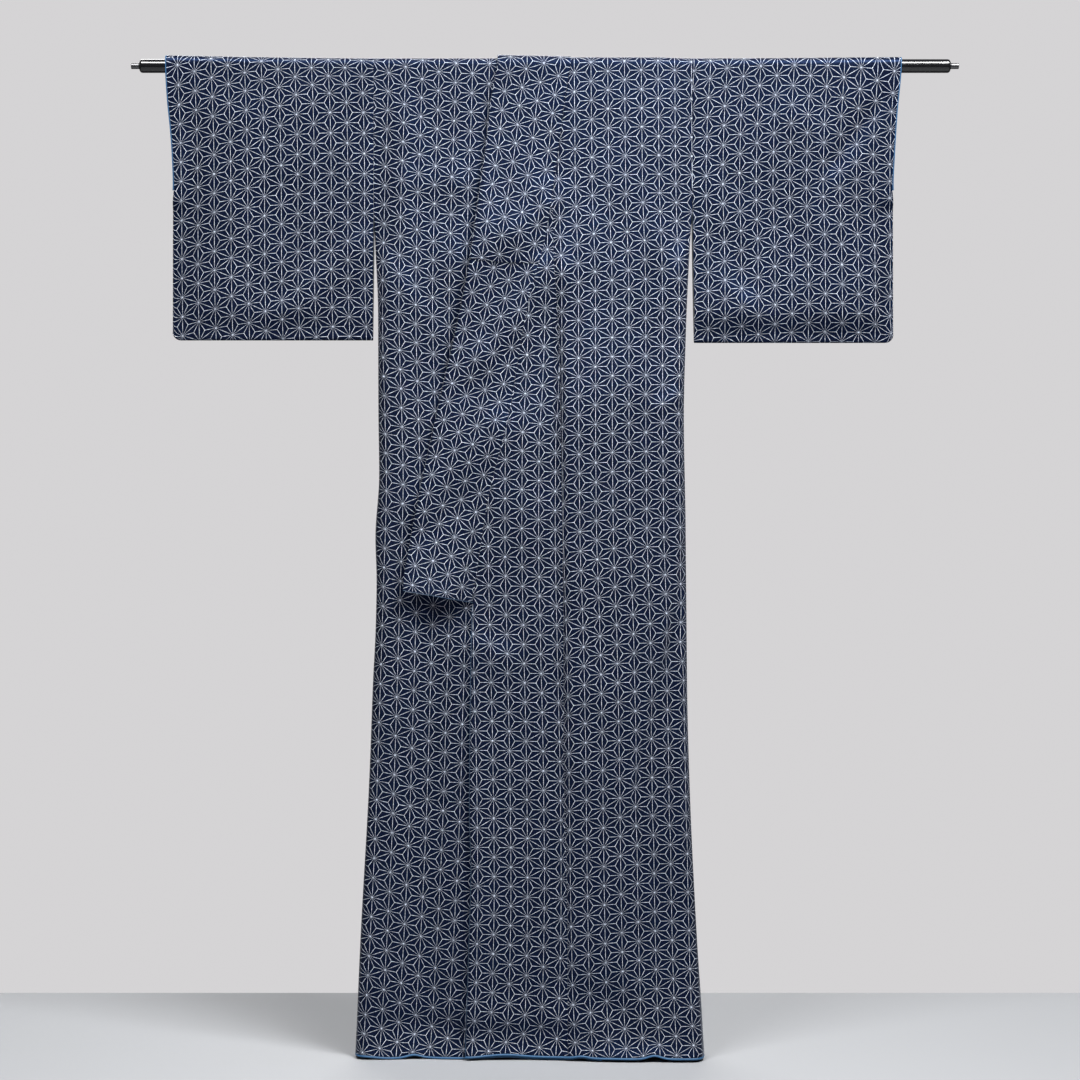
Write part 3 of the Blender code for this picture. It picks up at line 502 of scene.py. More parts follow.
def relief(folds, x, drop):
    """How far the soft folds lift the cloth at a place."""
    height = 0.0
    for fold in folds:
        line_x = fold.x2 - fold.x1
        line_drop = fold.drop2 - fold.drop1
        length = math.hypot(line_x, line_drop)
        reach = ((x - fold.x1) * line_x + (drop - fold.drop1) * line_drop) / length
        across = ((x - fold.x1) * line_drop - (drop - fold.drop1) * line_x) / length
        over = np.maximum(np.maximum(-reach, reach - length), 0.0)
        width = np.where(across > 0.0, fold.above, fold.below)
        end = max((fold.above + fold.below) / 2, FOLD_END_SHARE * length)
        height = height + fold.height * np.exp(-((across / width) ** 2 + (over / end) ** 2))
    return height


def slack(x, drop):
    """Slow uneven waves over the whole cloth."""
    return sum(
        wave.height * np.sin(2 * math.pi * (x / wave.across + drop / wave.down) + wave.phase)
        for wave in SLACK)


def rippled(ripples, place):
    """The height of several ripples together, at a place along them."""
    return sum(
        ripple.height * np.sin(2 * math.pi * place / ripple.length + ripple.phase)
        for ripple in ripples)


def from_side(x, drop):
    """How far a place lies inside the nearer side edge."""
    return np.minimum(x - along(RIGHT_SIDE, drop), along(LEFT_SIDE, drop) - x)


def side_share(x, drop):
    """0 at the side edge and 1 inside: square at the armhole, round at the side seam."""
    inside = from_side(x, drop)
    square = ease(inside / SHOULDER_EASE)
    within = np.clip(inside / SIDE_ROUNDING, 0.0, 1.0)
    rounded = (1.0 - (1.0 - within) ** SIDE_SQUARENESS) ** (1.0 / SIDE_SQUARENESS)
    closed = between(drop, SLEEVE_SEAM_DROP, SIDE_SEAM_DROP)
    return square + (rounded - square) * closed


def edge_depth(drop):
    """Half the space between front and back at the body's side edge."""
    closed = between(drop, SLEEVE_SEAM_DROP, SIDE_SEAM_DROP)
    return TOP_DEPTH + (SIDE_HALF_GAP - TOP_DEPTH) * closed


def hem_bend(drop, kick):
    """The last few centimetres turn outwards where the hem brushes the floor."""
    past = np.maximum(drop - HEM_BEND_DROP, 0.0) / (HEM_DROP - HEM_BEND_DROP)
    return kick * past**2


def layer_lift(drop):
    """How far the left front lies over the right front."""
    grown = ease(drop / LAYER_LIFT_DROP)
    return LAYER_LIFT_AT_ROD + (LAYER_LIFT - LAYER_LIFT_AT_ROD) * grown


def seam_step(x, drop):
    """How far the left front panel stands out beside its lower seam."""
    past = np.maximum(x - along(OKUMI_SEAM, drop) + SEAM_STEP_LEAD, 0.0)
    height = SEAM_STEP * ease(past / SEAM_STEP_WIDTH) * np.exp(-((past / SEAM_STEP_FADE) ** 2))
    height = height * (1.0 + rippled(SEAM_STEP_RIPPLES, drop))
    height = height * between(drop, OKUMI_TOP_DROP, SEAM_STEP_START)
    return height * (1.0 - SEAM_STEP_LOSS * between(drop, SEAM_STEP_LOW, SEAM_STEP_END))


def draped(sections, folds, waves, x, drop, kick):
    """How far a panel's middle stands off: its hang, folds, slack and the hem's turn."""
    depth = along(sections, drop) + (relief(folds, x, drop) + waves) * ease(drop / FOLDS_START)
    return depth + hem_bend(drop, kick)


def closed_at_side(depth, x, drop):
    """Brings a panel's depth in to its side edge."""
    start = edge_depth(drop)
    return start + (depth - start) * side_share(x, drop)


def front_depth(x, drop, upper):
    folds = FRONT_FOLDS + FRONT_CREASES + (() if upper else UNDER_FOLDS)
    depth = draped(FRONT_SECTIONS, folds, slack(x, drop), x, drop, HEM_FRONT_KICK)
    if upper:
        depth = depth + layer_lift(drop) + seam_step(x, drop)
    return closed_at_side(depth, x, drop)


def back_depth(x, drop, upper):
    folds = BACK_FOLDS + BACK_CREASES
    depth = draped(BACK_SECTIONS, folds, slack(mirrored(x), drop), x, drop, HEM_BACK_KICK)
    neck = ease((NECK_TUCK_HALF_WIDTH - np.abs(x - MIDDLE_X)) / NECK_TUCK_EDGE)
    neck = neck * between(drop, NECK_TUCK_TOP, NECK_TUCK_FULL)
    neck = neck * between(drop, NECK_TUCK_END, NECK_TUCK_LOW)
    depth = depth - NECK_TUCK * neck
    if upper:
        depth = depth + LAYER_LIFT_AT_ROD * between(drop, NECK_TUCK_FULL, 0.0)
    return closed_at_side(depth, x, drop)


def rod_wrap_radius(upper):
    """How far from the rod's axis the cloth's middle lies where it goes over the rod."""
    return ROD_RADIUS + ROD_CLEARANCE + CLOTH / 2 + (LAYER_LIFT_AT_ROD if upper else 0.0)


def body_points(x, run, upper):
    """The middle of the cloth's thickness, anywhere on the body."""
    x, run = np.broadcast_arrays(x, run)
    drop = np.maximum(np.abs(run) - 1.0, 0.0)
    in_front = run > 0.0
    depth = np.where(in_front, front_depth(x, drop, upper), back_depth(x, drop, upper))
    hung = np.stack((x, np.where(in_front, -depth, depth), -drop), axis=-1)
    radius = rod_wrap_radius(False)
    if upper:
        radius = radius + LAYER_LIFT_AT_ROD * side_share(x, np.zeros_like(x))
    angle = run * QUARTER
    over = np.stack((x, -radius * np.sin(angle), radius * np.cos(angle)), axis=-1)
    return np.where((np.abs(run) >= 1.0)[..., None], hung, over)


def hem_rise(x):
    return sum(rise.height * np.exp(-(((x - rise.x) / rise.width) ** 2)) for rise in HEM_RISES)


def hem_shift(x, run, upper):
    """Moves the lowest rows up where the hem lifts, and down for the under layer."""
    drop = np.maximum(run - 1.0, 0.0)
    share = between(drop, HEM_BEND_DROP, HEM_DROP)
    share = share * between(from_side(x, drop), HEM_SHIFT_CLEAR, HEM_SHIFT_FULL)
    extra = 0.0 if upper else UNDER_HEM_EXTRA
    return share * (hem_rise(x) - extra)


def front_seam(drop, upper):
    """Where the body's front panel ends: at the collar, and lower down at the okumi."""
    x = np.where(drop < OKUMI_TOP_DROP, along(COLLAR_SEAM, drop), along(OKUMI_SEAM, drop))
    return x + SEAM_GAP / 2 if upper else mirrored(x) - SEAM_GAP / 2


def back_seam(drop, upper):
    """The back's inner edge: beside the neck, then stepping in to the centre seam."""
    side = 1 if upper else -1
    neck = COLLAR_SEAM[0].x - MIDDLE_X
    step = (drop - NECK_STEP_TOP) / (NECK_STEP_BOTTOM - NECK_STEP_TOP)
    reach = neck * (1.0 - np.clip(step, 0.0, 1.0))
    return MIDDLE_X + side * (reach + SEAM_GAP / 2)


def even(start, end, step):
    """Even places from start to end, about a step apart, with both ends."""
    count = max(int(round(abs(end - start) / step)), 1)
    return np.linspace(start, end, count + 1)


def arc_runs():
    """The runs over the rod, from its front to its back, ends left out."""
    return np.linspace(1.0, -1.0, 2 * ARC_STEPS + 1)[1:-1]


def body_runs():
    """The rows of a body half, from the front hem over the rod to the back hem."""
    front = 1.0 + np.concatenate((
        even(HEM_DROP, OKUMI_TOP_DROP + BELOW_OKUMI, ROW_STEP),
        even(OKUMI_TOP_DROP - ABOVE_OKUMI, 0.0, ROW_STEP)))
    back = -1.0 - np.concatenate((
        even(0.0, NECK_STEP_TOP, ROW_STEP)[:-1],
        even(NECK_STEP_TOP, NECK_STEP_BOTTOM, ROW_STEP / 3)[:-1],
        even(NECK_STEP_BOTTOM, HEM_DROP, ROW_STEP)))
    return np.concatenate((front, arc_runs(), back))


def body_places(runs, upper):
    """The places across each row, closer together where the side is round."""
    drop = np.maximum(np.abs(runs) - 1.0, 0.0)
    seam = np.where(runs > 0, front_seam(drop, upper), back_seam(drop, upper))
    side = along(LEFT_SIDE if upper else RIGHT_SIDE, drop)
    gap = np.where(drop < SLEEVE_SEAM_DROP, SEAM_GAP / 2, 0.0)
    side = side - gap if upper else side + gap
    sign = 1 if upper else -1
    corner = side - sign * SIDE_ROUNDING
    flat = edge_shares(BODY_GRID_WIDTH)
    turn = QUARTER * (1.0 - np.arange(1, ROUND_COLUMNS + 1) / ROUND_COLUMNS)
    inner = seam[:, None] + (corner - seam)[:, None] * flat
    outer = side[:, None] - sign * SIDE_ROUNDING * (1.0 - np.cos(turn))
    return np.concatenate((inner, outer), axis=1)


def okumi_free_edge(drop):
    gap = np.where(drop <= COLLAR_SEAM_END_DROP, SEAM_GAP / 2, 0.0)
    edge = np.where(
        drop < COLLAR_SEAM_END_DROP, along(COLLAR_SEAM, drop), along(OKUMI_EDGE, drop))
    return edge + gap


def edge_shares(width):
    """Places from a free edge, at 0, to a seam, at 1, closer together near the edge."""
    near = EDGE_COLUMN * np.arange(EDGE_COLUMNS) / width
    start = EDGE_COLUMN * EDGE_COLUMNS / width
    return np.concatenate((near, even(start, 1.0, COLUMN_STEP / width)))


def curl(inside):
    """A free edge rolls back a little, as a folded edge does."""
    return EDGE_CURL * np.clip(1.0 - inside / EDGE_CURL_WIDTH, 0.0, 1.0) ** 2


def okumi_places(drop, upper):
    free = okumi_free_edge(drop)
    seam = along(OKUMI_SEAM, drop) - SEAM_GAP / 2
    share = edge_shares(OKUMI_GRID_WIDTH)
    places = free[:, None] + (seam - free)[:, None] * share
    return places if upper else mirrored(places)


def okumi_points(x, run, upper):
    """The okumi's front edge stands a little proud of what it lies on."""
    points = body_points(x, run, upper)
    if upper:
        drop = run - 1.0
        inside = x - along(OKUMI_EDGE, drop)
        near = ease(1.0 - inside / FLARE_WIDTH)
        grown = between(drop, OKUMI_FLARE_START, OKUMI_FLARE_FULL)
        points[..., 1] -= (OKUMI_EDGE_FLARE * near - curl(inside)) * grown
    return points


def collar_points(x, run, upper):
    """The collar, whose free edge, end and top stand proud on the upper side."""
    points = body_points(x, run, upper)
    if not upper:
        return points
    drop = np.maximum(run - 1.0, 0.0)
    hanging = run >= 1.0
    inside = x - along(COLLAR_FREE_EDGE, drop)
    grown = between(drop, COLLAR_FLARE_START, COLLAR_FLARE_FULL)
    flare = COLLAR_EDGE_FLARE * grown * ease(1.0 - inside / FLARE_WIDTH)
    end = np.clip(1.0 - (COLLAR_SEAM_END_DROP - drop) / COLLAR_END_FLARE_HEIGHT, 0.0, 1.0)
    from_seam = ease((along(COLLAR_SEAM, drop) - x) / COLLAR_END_FLARE_WIDTH)
    flare = flare + COLLAR_END_FLARE * end**COLLAR_END_FLARE_BEND * from_seam - curl(inside) * grown
    points[..., 1] -= np.where(hanging, flare, 0.0)
    width = COLLAR_SEAM[0].x - COLLAR_FREE_EDGE[0].x
    share = np.clip((COLLAR_SEAM[0].x - x) / width, 0.0, 1.0)
    rise = COLLAR_TOP_RISE * share * between(drop, COLLAR_TOP_RISE_DROP, 0.0)
    rise = rise * between(run, -1.0, COLLAR_TOP_RISE_RUN)
    angle = np.clip(run, -1.0, 1.0) * QUARTER
    points[..., 1] -= rise * np.sin(angle)
    points[..., 2] += rise * np.cos(angle)
    return points


def collar_strip(upper):
    """One side's collar, from its end up over the rod to behind the neck."""
    front = 1.0 + even(COLLAR_SEAM_END_DROP, 0.0, ROW_STEP)
    back = -1.0 - even(0.0, NECK_BAND_DROP, ROW_STEP)
    run = np.concatenate((front, arc_runs(), back))[:, None]
    drop = np.where(run > 0, np.maximum(run - 1.0, 0.0), 0.0)
    seam = along(COLLAR_SEAM, drop) - SEAM_GAP / 2
    free = along(COLLAR_FREE_EDGE, drop)
    if not upper:
        seam = mirrored(seam)
        free = mirrored(free)
    share = 1.0 - edge_shares(COLLAR_GRID_WIDTH)[::-1][None, :]
    x = seam + (free - seam) * share
    slant = COLLAR_END_SLANT * between(run - 1.0, COLLAR_SLANT_START, COLLAR_SEAM_END_DROP)
    points = collar_points(x, run - slant * share, upper)
    behind = run[:, 0] < -1.0
    points[behind, :, 1] = rod_wrap_radius(upper)
    return points, run[:, 0]


Sleeve = namedtuple("Sleeve", "seam cuff bottom folds creases side weave top_lift")
RIGHT_SLEEVE = Sleeve(
    RIGHT_SLEEVE_SEAM, RIGHT_CUFF, RIGHT_SLEEVE_BOTTOM, RIGHT_SLEEVE_FOLDS,
    RIGHT_SLEEVE_CREASES, -1, RIGHT_SLEEVE_WEAVE, 0.0052)
LEFT_SLEEVE = Sleeve(
    LEFT_SLEEVE_SEAM, LEFT_CUFF, LEFT_SLEEVE_BOTTOM, LEFT_SLEEVE_FOLDS,
    LEFT_SLEEVE_CREASES, 1, LEFT_SLEEVE_WEAVE, 0.0020)


def sleeve_depth(sleeve, x, drop, in_front):
    """Half the space inside the sleeve: open at the armhole, closed below the cuff."""
    depth = along(SLEEVE_SECTIONS, drop)
    inside = np.abs(x - along(sleeve.seam, drop))
    outside = np.abs(along(sleeve.cuff, drop) - x)
    opened = between(drop, SLEEVE_SEAM_DROP, sleeve.bottom)
    open_depth = TOP_DEPTH + (SLEEVE_LOW_HALF_GAP - TOP_DEPTH) * opened
    depth = depth + (open_depth - depth) * (1.0 - ease(inside / SLEEVE_SEAM_EASE))
    loose = between(drop, SLEEVE_SEAM_DROP, SLEEVE_SEAM_DROP + SLEEVE_LOOSE_DROP)
    fade = ease(drop / SLEEVE_FOLD_TOP) * ease((sleeve.bottom - drop) / SLEEVE_FOLD_BOTTOM)
    fade = fade * np.maximum(ease(inside / SLEEVE_FOLD_MARGIN), loose)
    fade = fade * ease(outside / SLEEVE_FOLD_MARGIN) * np.where(in_front, 1.0, BACK_FOLD_SHARE)
    depth = depth + (relief(sleeve.folds + sleeve.creases, x, drop) + slack(x, drop)) * fade
    closed = between(drop, CUFF_OPENING, CUFF_OPENING + CUFF_CLOSING)
    seam_depth = SEAM_HALF_GAP + (CUFF_HALF_GAP - SEAM_HALF_GAP) * ease(outside / SEAM_PINCH)
    cuff_depth = depth + (seam_depth - depth) * closed
    return depth + (cuff_depth - depth) * (1.0 - ease(outside / CUFF_EASE))


def sleeve_bottom(sleeve, x):
    """The lowest point of the sleeve at a place across, up round the outer corner."""
    outside = np.abs(sleeve.cuff[-1].x - x)
    lean = np.clip(1.0 - outside / SLEEVE_CORNER_RADIUS, 0.0, CORNER_TURN)
    return sleeve.bottom - SLEEVE_CORNER_RADIUS * (1.0 - np.sqrt(1.0 - lean**2))


def sleeve_points(sleeve, share, part):
    """Points of the sleeve's ring: share across, part 0 to 5 round from the top."""
    share, part = np.broadcast_arrays(share, part % 5.0)
    low_x = along(sleeve.seam, sleeve.bottom)
    low_x = low_x + (sleeve.cuff[-1].x - low_x) * share
    bottom = sleeve_bottom(sleeve, low_x)
    fold_radius = sleeve_depth(sleeve, low_x, bottom, np.full(share.shape, True))
    hang = bottom - fold_radius
    turn = (part - 2.0) * math.pi
    under = np.stack(
        (low_x, -fold_radius * np.cos(turn), -hang - fold_radius * np.sin(turn)), axis=-1)
    in_front = part <= 2.5
    face = np.where(in_front, 1.0, -1.0)
    travel = np.where(in_front, part, 5.0 - part)
    drop = np.maximum(travel - 1.0, 0.0) * hang
    rise = np.where(travel < 1.0, np.cos(travel * QUARTER) * TOP_DEPTH, 0.0)
    seam_x = along(sleeve.seam, drop)
    x = seam_x + (along(sleeve.cuff, drop - rise) - seam_x) * share
    lift = sleeve.top_lift * share**SLEEVE_TOP_LIFT_BEND * between(drop, SLEEVE_TOP_LIFT_DROP, 0.0)
    over = np.stack((x, -face * TOP_DEPTH * np.sin(travel * QUARTER), rise + lift), axis=-1)
    depth = sleeve_depth(sleeve, x, drop, in_front)
    depth = depth + (fold_radius - depth) * ease((travel - 2.0 + FOLD_CLOSING) / FOLD_CLOSING)
    hung = np.stack((x, -face * depth, lift - drop), axis=-1)
    points = np.where((travel <= 1.0)[..., None], over, hung)
    return np.where(((part > 2.0) & (part < 3.0))[..., None], under, points)


def unit(vectors):
    return vectors / np.maximum(np.linalg.norm(vectors, axis=-1, keepdims=True), NO_LENGTH)


def grid_normals(points, ring=False):
    """Directions square to the cloth, pointing away from its hollow inside."""
    across = np.gradient(points, axis=1)
    ahead = np.gradient(points, axis=0)
    if ring:
        seam = points[1] - points[-2]
        ahead[0] = seam
        ahead[-1] = seam
    normals = unit(np.cross(unit(across), unit(ahead)))
    quarter = len(points) // 4
    outwards = normals[:quarter, :, 1] * np.sign(points[:quarter, :, 1])
    return normals if outwards.sum() > 0.0 else -normals


def row_lengths(points):
    """How far each point lies along its row."""
    steps = np.linalg.norm(np.diff(points, axis=1), axis=2)
    return np.concatenate((np.zeros((len(points), 1)), np.cumsum(steps, axis=1)), axis=1)


def soften(points, normals, runs, seam):
    """Dips the cloth into the seam at its first or last column and puckers it there."""
    place = row_lengths(points)
    distance = place if seam == "first" else place[:, -1:] - place
    clear = between(np.abs(runs), PUCKER_START_RUN, PUCKER_FULL_RUN)[:, None]
    moved = rippled(PUCKERS, runs)[:, None] * np.exp(-((distance / PUCKER_WIDTH) ** 2))
    moved = moved - SEAM_DIP * np.exp(-((distance / SEAM_DIP_WIDTH) ** 2))
    return points + normals * (moved * clear)[..., None]


def column_lengths(points, place, drop, weave, rightward):
    """How far along each row the panel's chosen column of stars crosses it."""
    if not isinstance(weave.column, tuple):
        return place[:, -1] - weave.column
    column_x = along(weave.column, drop)
    order = slice(None) if rightward > 0 else slice(None, None, -1)
    lengths = np.empty(len(points))
    for i, x in enumerate(column_x):
        row = points[i, order, 0]
        lengths[i] = np.interp(x, row, place[i, order])
        lengths[i] += rightward * (x - np.clip(x, row[0], row[-1]))
    return lengths


def weave_places(points, weave):
    """Where each point lies on the pattern, in metres across from a star and down from it."""
    place = row_lengths(points)
    middle = points.shape[1] // 2
    drop = np.maximum(-points[:, middle, 2], 0.0)
    rightward = 1.0 if points[0, -1, 0] > points[0, 0, 0] else -1.0
    crossing = column_lengths(points, place, drop, weave, rightward)
    line = np.array([
        [np.interp(at, lengths, row[:, axis]) for axis in range(3)]
        for at, lengths, row in zip(crossing, place, points)])
    line[:, 0] += rightward * (crossing - np.clip(crossing, 0.0, place[:, -1]))
    travel = np.linalg.norm(np.diff(line, axis=0), axis=1)
    length = np.concatenate(((0.0,), np.cumsum(travel)))
    top = int(np.argmax(line[:, 2]))
    length = length - length[top]
    if points[0, middle, 1] < 0.0 and top > 0:
        length = -length
    growth = np.gradient(length)
    lean = np.gradient(line[:, 0]) / np.maximum(np.abs(growth), LEAST_GROWTH)
    lean = np.clip(lean * np.sign(growth), -LEAN_MOST, LEAN_MOST)
    window = np.hanning(LEAN_WINDOW)
    padded = np.pad(lean, LEAN_WINDOW // 2, mode="edge")
    lean = np.convolve(padded, window / window.sum(), mode="valid")
    in_front = line[:, 1] < 0.0
    # The collar's under side also lies in front, but its lengths count backwards
    if not isinstance(weave.column, tuple):
        in_front = in_front & (length > 0.0)
    star = np.interp(weave.star_drop, *ordered(drop[in_front], length[in_front]))
    offset = rightward * (place - crossing[:, None])
    across = offset * np.sqrt(1.0 - lean**2)[:, None]
    down = stretched(length[:, None] + offset * lean[:, None], weave) - stretched(star, weave)
    down = down - weave.tilt * across - weave.bow * across**2 / 2
    return np.stack((across, down), axis=-1)


def ordered(keys, values):
    order = np.argsort(keys)
    return keys[order], values[order]


def stretched(length, weave):
    """The pattern's rows stand a little closer near the shoulder than near the hem."""
    return weave.rows * length * (1.0 + weave.gain * (1.0 - np.abs(length) / PATTERN_LENGTH))


def section(points, normals, before, after, radius):
    """Rows of closed loops round the cloth: outside, edge, inside and the other edge."""
    turns = math.pi * np.arange(1, RIM_STEPS + 1) / (RIM_STEPS + 1)
    cosines = np.cos(turns)[None, :, None]
    sines = np.sin(turns)[None, :, None]
    outer = points + normals * radius
    inner = (points - normals * radius)[:, ::-1]
    last = points[:, -1:] + radius * (normals[:, -1:] * cosines + after[:, None] * sines)
    first = points[:, :1] + radius * (-normals[:, :1] * cosines + before[:, None] * sines)
    return np.concatenate((outer, last, inner, first), axis=1)


def pulled_in(points, radius, ring):
    """Moves the edges in by the rounding that the rims then add."""
    points = points.copy()
    stretches = [(points[:, 0], points[:, 1]), (points[:, -1], points[:, -2])]
    if not ring:
        stretches += [(points[0], points[1]), (points[-1], points[-2])]
    for edge, inside in stretches:
        step = inside - edge
        length = np.maximum(np.linalg.norm(step, axis=-1, keepdims=True), LEAST_STEP)
        edge += step * np.minimum(radius / length, RIM_PULL_MOST)
    return points


def end_rim(points, normals, before, after, radius, end, inner_end):
    """The loops that round off one end of the cloth, from inside outwards."""
    ahead = unit(points[end] - points[inner_end])
    return [
        section(
            (points[end] + ahead * radius * math.sin(turn))[None], normals[end][None],
            before[end][None], after[end][None], radius * math.cos(turn))
        for turn in (QUARTER / 2, QUARTER)]


def mesh_of_loops(name, loops, weave=None):
    """A mesh of closed loops, one to a row, whose corners know their place on the weave."""
    rows, columns = loops.shape[:2]
    index = np.arange(rows * columns).reshape(rows, columns)
    wrapped = np.roll(index, -1, axis=1)
    faces = np.stack((index[:-1], wrapped[:-1], wrapped[1:], index[1:]), axis=-1)
    mesh = bpy.data.meshes.new(name)
    mesh.from_pydata(loops.reshape(-1, 3).tolist(), [], faces.reshape(-1, 4).tolist())
    if weave is not None:
        corners = np.empty(len(mesh.loops), np.int32)
        mesh.loops.foreach_get("vertex_index", corners)
        places = weave.reshape(-1, 2)[corners].reshape(-1).astype(np.float32)
        mesh.uv_layers.new(name="weave").uv.foreach_set("vector", places)
    return mesh


def cloth(name, points, weave_at, materials, thickness=CLOTH, ring=False, inside=None):
    """A cloth wall with rounded edges, as a closed mesh that knows its weave."""
    radius = thickness / 2
    points = pulled_in(points, radius, ring)
    normals = grid_normals(points, ring)
    rows, columns = points.shape[:2]
    before = unit(points[:, 0] - points[:, 1])
    after = unit(points[:, -1] - points[:, -2])
    loops = [section(points, normals, before, after, radius)]
    row_of = np.arange(rows)
    skirt = 0
    if not ring:
        first = end_rim(points, normals, before, after, radius, 0, 1)
        last = end_rim(points, normals, before, after, radius, -1, -2)
        loops = first[::-1] + loops + last
        skirt = len(first)
        row_of = np.pad(row_of, skirt, mode="edge")
    loops = np.concatenate(loops)
    column_of = np.concatenate((
        np.arange(columns), np.full(RIM_STEPS, columns - 1),
        np.arange(columns)[::-1], np.zeros(RIM_STEPS, int)))
    mesh = mesh_of_loops(name, loops, weave_at[row_of][:, column_of])
    if inside is not None:
        slots = np.zeros((len(loops) - 1, loops.shape[1]), np.int32)
        start = columns + RIM_STEPS
        slots[skirt:skirt + rows - 1, start:start + columns - 1] = inside[:, ::-1]
        mesh.polygons.foreach_set("material_index", slots.reshape(-1))
    return finished_mesh(name, mesh, materials)


def finished_mesh(name, mesh, materials):
    """Welds the mesh, turns its faces outwards, shades it and links it as an object."""
    shape = bmesh.new()
    shape.from_mesh(mesh)
    bmesh.ops.remove_doubles(shape, verts=shape.verts, dist=WELD_DISTANCE)
    bmesh.ops.recalc_face_normals(shape, faces=shape.faces)
    shape.to_mesh(mesh)
    shape.free()
    mesh.shade_smooth()
    mesh.set_sharp_from_angle(angle=SHARP_ANGLE)
    for material in materials:
        mesh.materials.append(material)
    item = bpy.data.objects.new(name, mesh)
    bpy.context.scene.collection.objects.link(item)
    return item


def tube(name, centres, first_axis, second_axis, material):
    """A rolled edge: an oval tube along a line, with its ends closed."""
    turns = 2 * math.pi * np.arange(TUBE_SIDES) / TUBE_SIDES
    loops = centres[:, None] + first_axis[:, None] * np.cos(turns)[None, :, None]
    loops = loops + second_axis[:, None] * np.sin(turns)[None, :, None]
    first = np.repeat(centres[:1, None], TUBE_SIDES, axis=1)
    last = np.repeat(centres[-1:, None], TUBE_SIDES, axis=1)
    travel = np.linalg.norm(np.diff(centres, axis=0), axis=1)
    length = np.concatenate(((0.0, 0.0), np.cumsum(travel), (travel.sum(),)))
    girth = np.linalg.norm(first_axis[0]) + np.linalg.norm(second_axis[0])
    around = girth * math.pi * np.arange(TUBE_SIDES) / TUBE_SIDES
    weave = np.stack(np.broadcast_arrays(around[None, :], length[:, None]), axis=-1)
    mesh = mesh_of_loops(name, np.concatenate((first, loops, last)), weave)
    return finished_mesh(name, mesh, [material])


# Reckoning with nodes: a colour is red, green and blue in linear light
class Signal:
    """What a node gives out, which can be reckoned with like a number."""

    def __init__(self, socket):
        self.socket = socket
        self.tree = socket.id_data

    def __add__(self, other):
        return calc("ADD", self, other)

    def __sub__(self, other):
        return calc("SUBTRACT", self, other)

    def __rsub__(self, other):
        return calc("SUBTRACT", other, self)

    def __mul__(self, other):
        return calc("MULTIPLY", self, other)

    def __truediv__(self, other):
        return calc("DIVIDE", self, other)


def join(socket, value):
    """Links a socket to a signal, or sets it to a number, vector or colour."""
    if isinstance(value, Signal):
        value.tree.links.new(value.socket, socket)
    elif socket.type == "RGBA":
        socket.default_value = (*value, 1.0)
    else:
        socket.default_value = value


def set_inputs(node, inputs):
    for name, value in inputs.items():
        join(node.inputs[name], value)


def add_node(tree, kind, output, inputs, **settings):
    """A new node with its settings and inputs, and the signal from one of its outputs."""
    node = tree.nodes.new(f"ShaderNode{kind}")
    for name, value in settings.items():
        setattr(node, name, value)
    set_inputs(node, inputs)
    return Signal(node.outputs[output])


def calc(operation, *values):
    tree = next(value.tree for value in values if isinstance(value, Signal))
    return add_node(tree, "Math", 0, dict(enumerate(values)), operation=operation)


def blend_colours(share, first, second):
    inputs = {"Factor": share, "A": first, "B": second}
    return add_node(share.tree, "Mix", "Result", inputs, data_type="RGBA")


def ramp(value, low, high):
    """0 below low and 1 above high, smooth between."""
    inputs = {"Value": value, "From Min": low, "From Max": high}
    return add_node(value.tree, "MapRange", "Result", inputs, interpolation_type="SMOOTHSTEP")


def noise(place, scale, detail=2.0, roughness=0.5):
    inputs = {"Vector": place, "Scale": scale, "Detail": detail, "Roughness": roughness}
    return add_node(place.tree, "TexNoise", "Fac", inputs)


def woven_place(tree):
    """The place on the cloth in metres, whole and as its two parts, across and along."""
    place = add_node(tree, "UVMap", "UV", {}, uv_map="weave")
    across, down = (add_node(tree, "SeparateXYZ", axis, {0: place}) for axis in ("X", "Y"))
    return place, across, down


def object_place(tree, scale=(1.0, 1.0, 1.0)):
    """The place on the object in metres, stretched."""
    place = add_node(tree, "TexCoord", "Object", {})
    return add_node(tree, "Mapping", 0, {"Vector": place, "Scale": scale})


def bump(height, strength, distance):
    inputs = {"Height": height, "Strength": strength, "Distance": distance}
    return add_node(height.tree, "Bump", "Normal", inputs)


def is_seen(tree):
    """1 for what the camera sees and 0 for the light that a surface sends on."""
    return add_node(tree, "LightPath", "Is Camera Ray", {})


def new_material(name):
    material = bpy.data.materials.new(name)
    material.use_nodes = True
    tree = material.node_tree
    return material, tree, tree.nodes["Principled BSDF"]


# Colours: the dye and the pattern's lines, the lining, the lacquer, the metal and the room
DYE = ((0.0017, 0.0025, 0.0092), (0.0026, 0.0039, 0.0135))
DYE_FLECK = (0.0080, 0.0130, 0.0370)
DYE_BESIDE_LINES = (0.0008, 0.0011, 0.0034)
DYE_GLOSS = (0.17, 0.38, 1.0)
DYE_SHEEN = (0.50, 0.68, 1.0)
LINES = (0.77, 0.84, 1.0)
WHITE_LINING = ((0.66, 0.64, 0.60), (0.74, 0.73, 0.70))
BLUE_FACING = ((0.014, 0.080, 0.190), (0.022, 0.105, 0.235))
TURNED_EDGE = ((0.006, 0.034, 0.085), (0.009, 0.045, 0.105))
LACQUER = ((0.004, 0.004, 0.005), (0.010, 0.010, 0.012))
METAL = ((0.10, 0.10, 0.105), (0.19, 0.19, 0.195))
FLOOR_LIT = ((0.275, 0.285, 0.30), (0.30, 0.31, 0.325))
FLOOR_SEEN = ((0.372, 0.382, 0.400), (0.393, 0.404, 0.423))
WALL = (0.665, 0.655, 0.665)


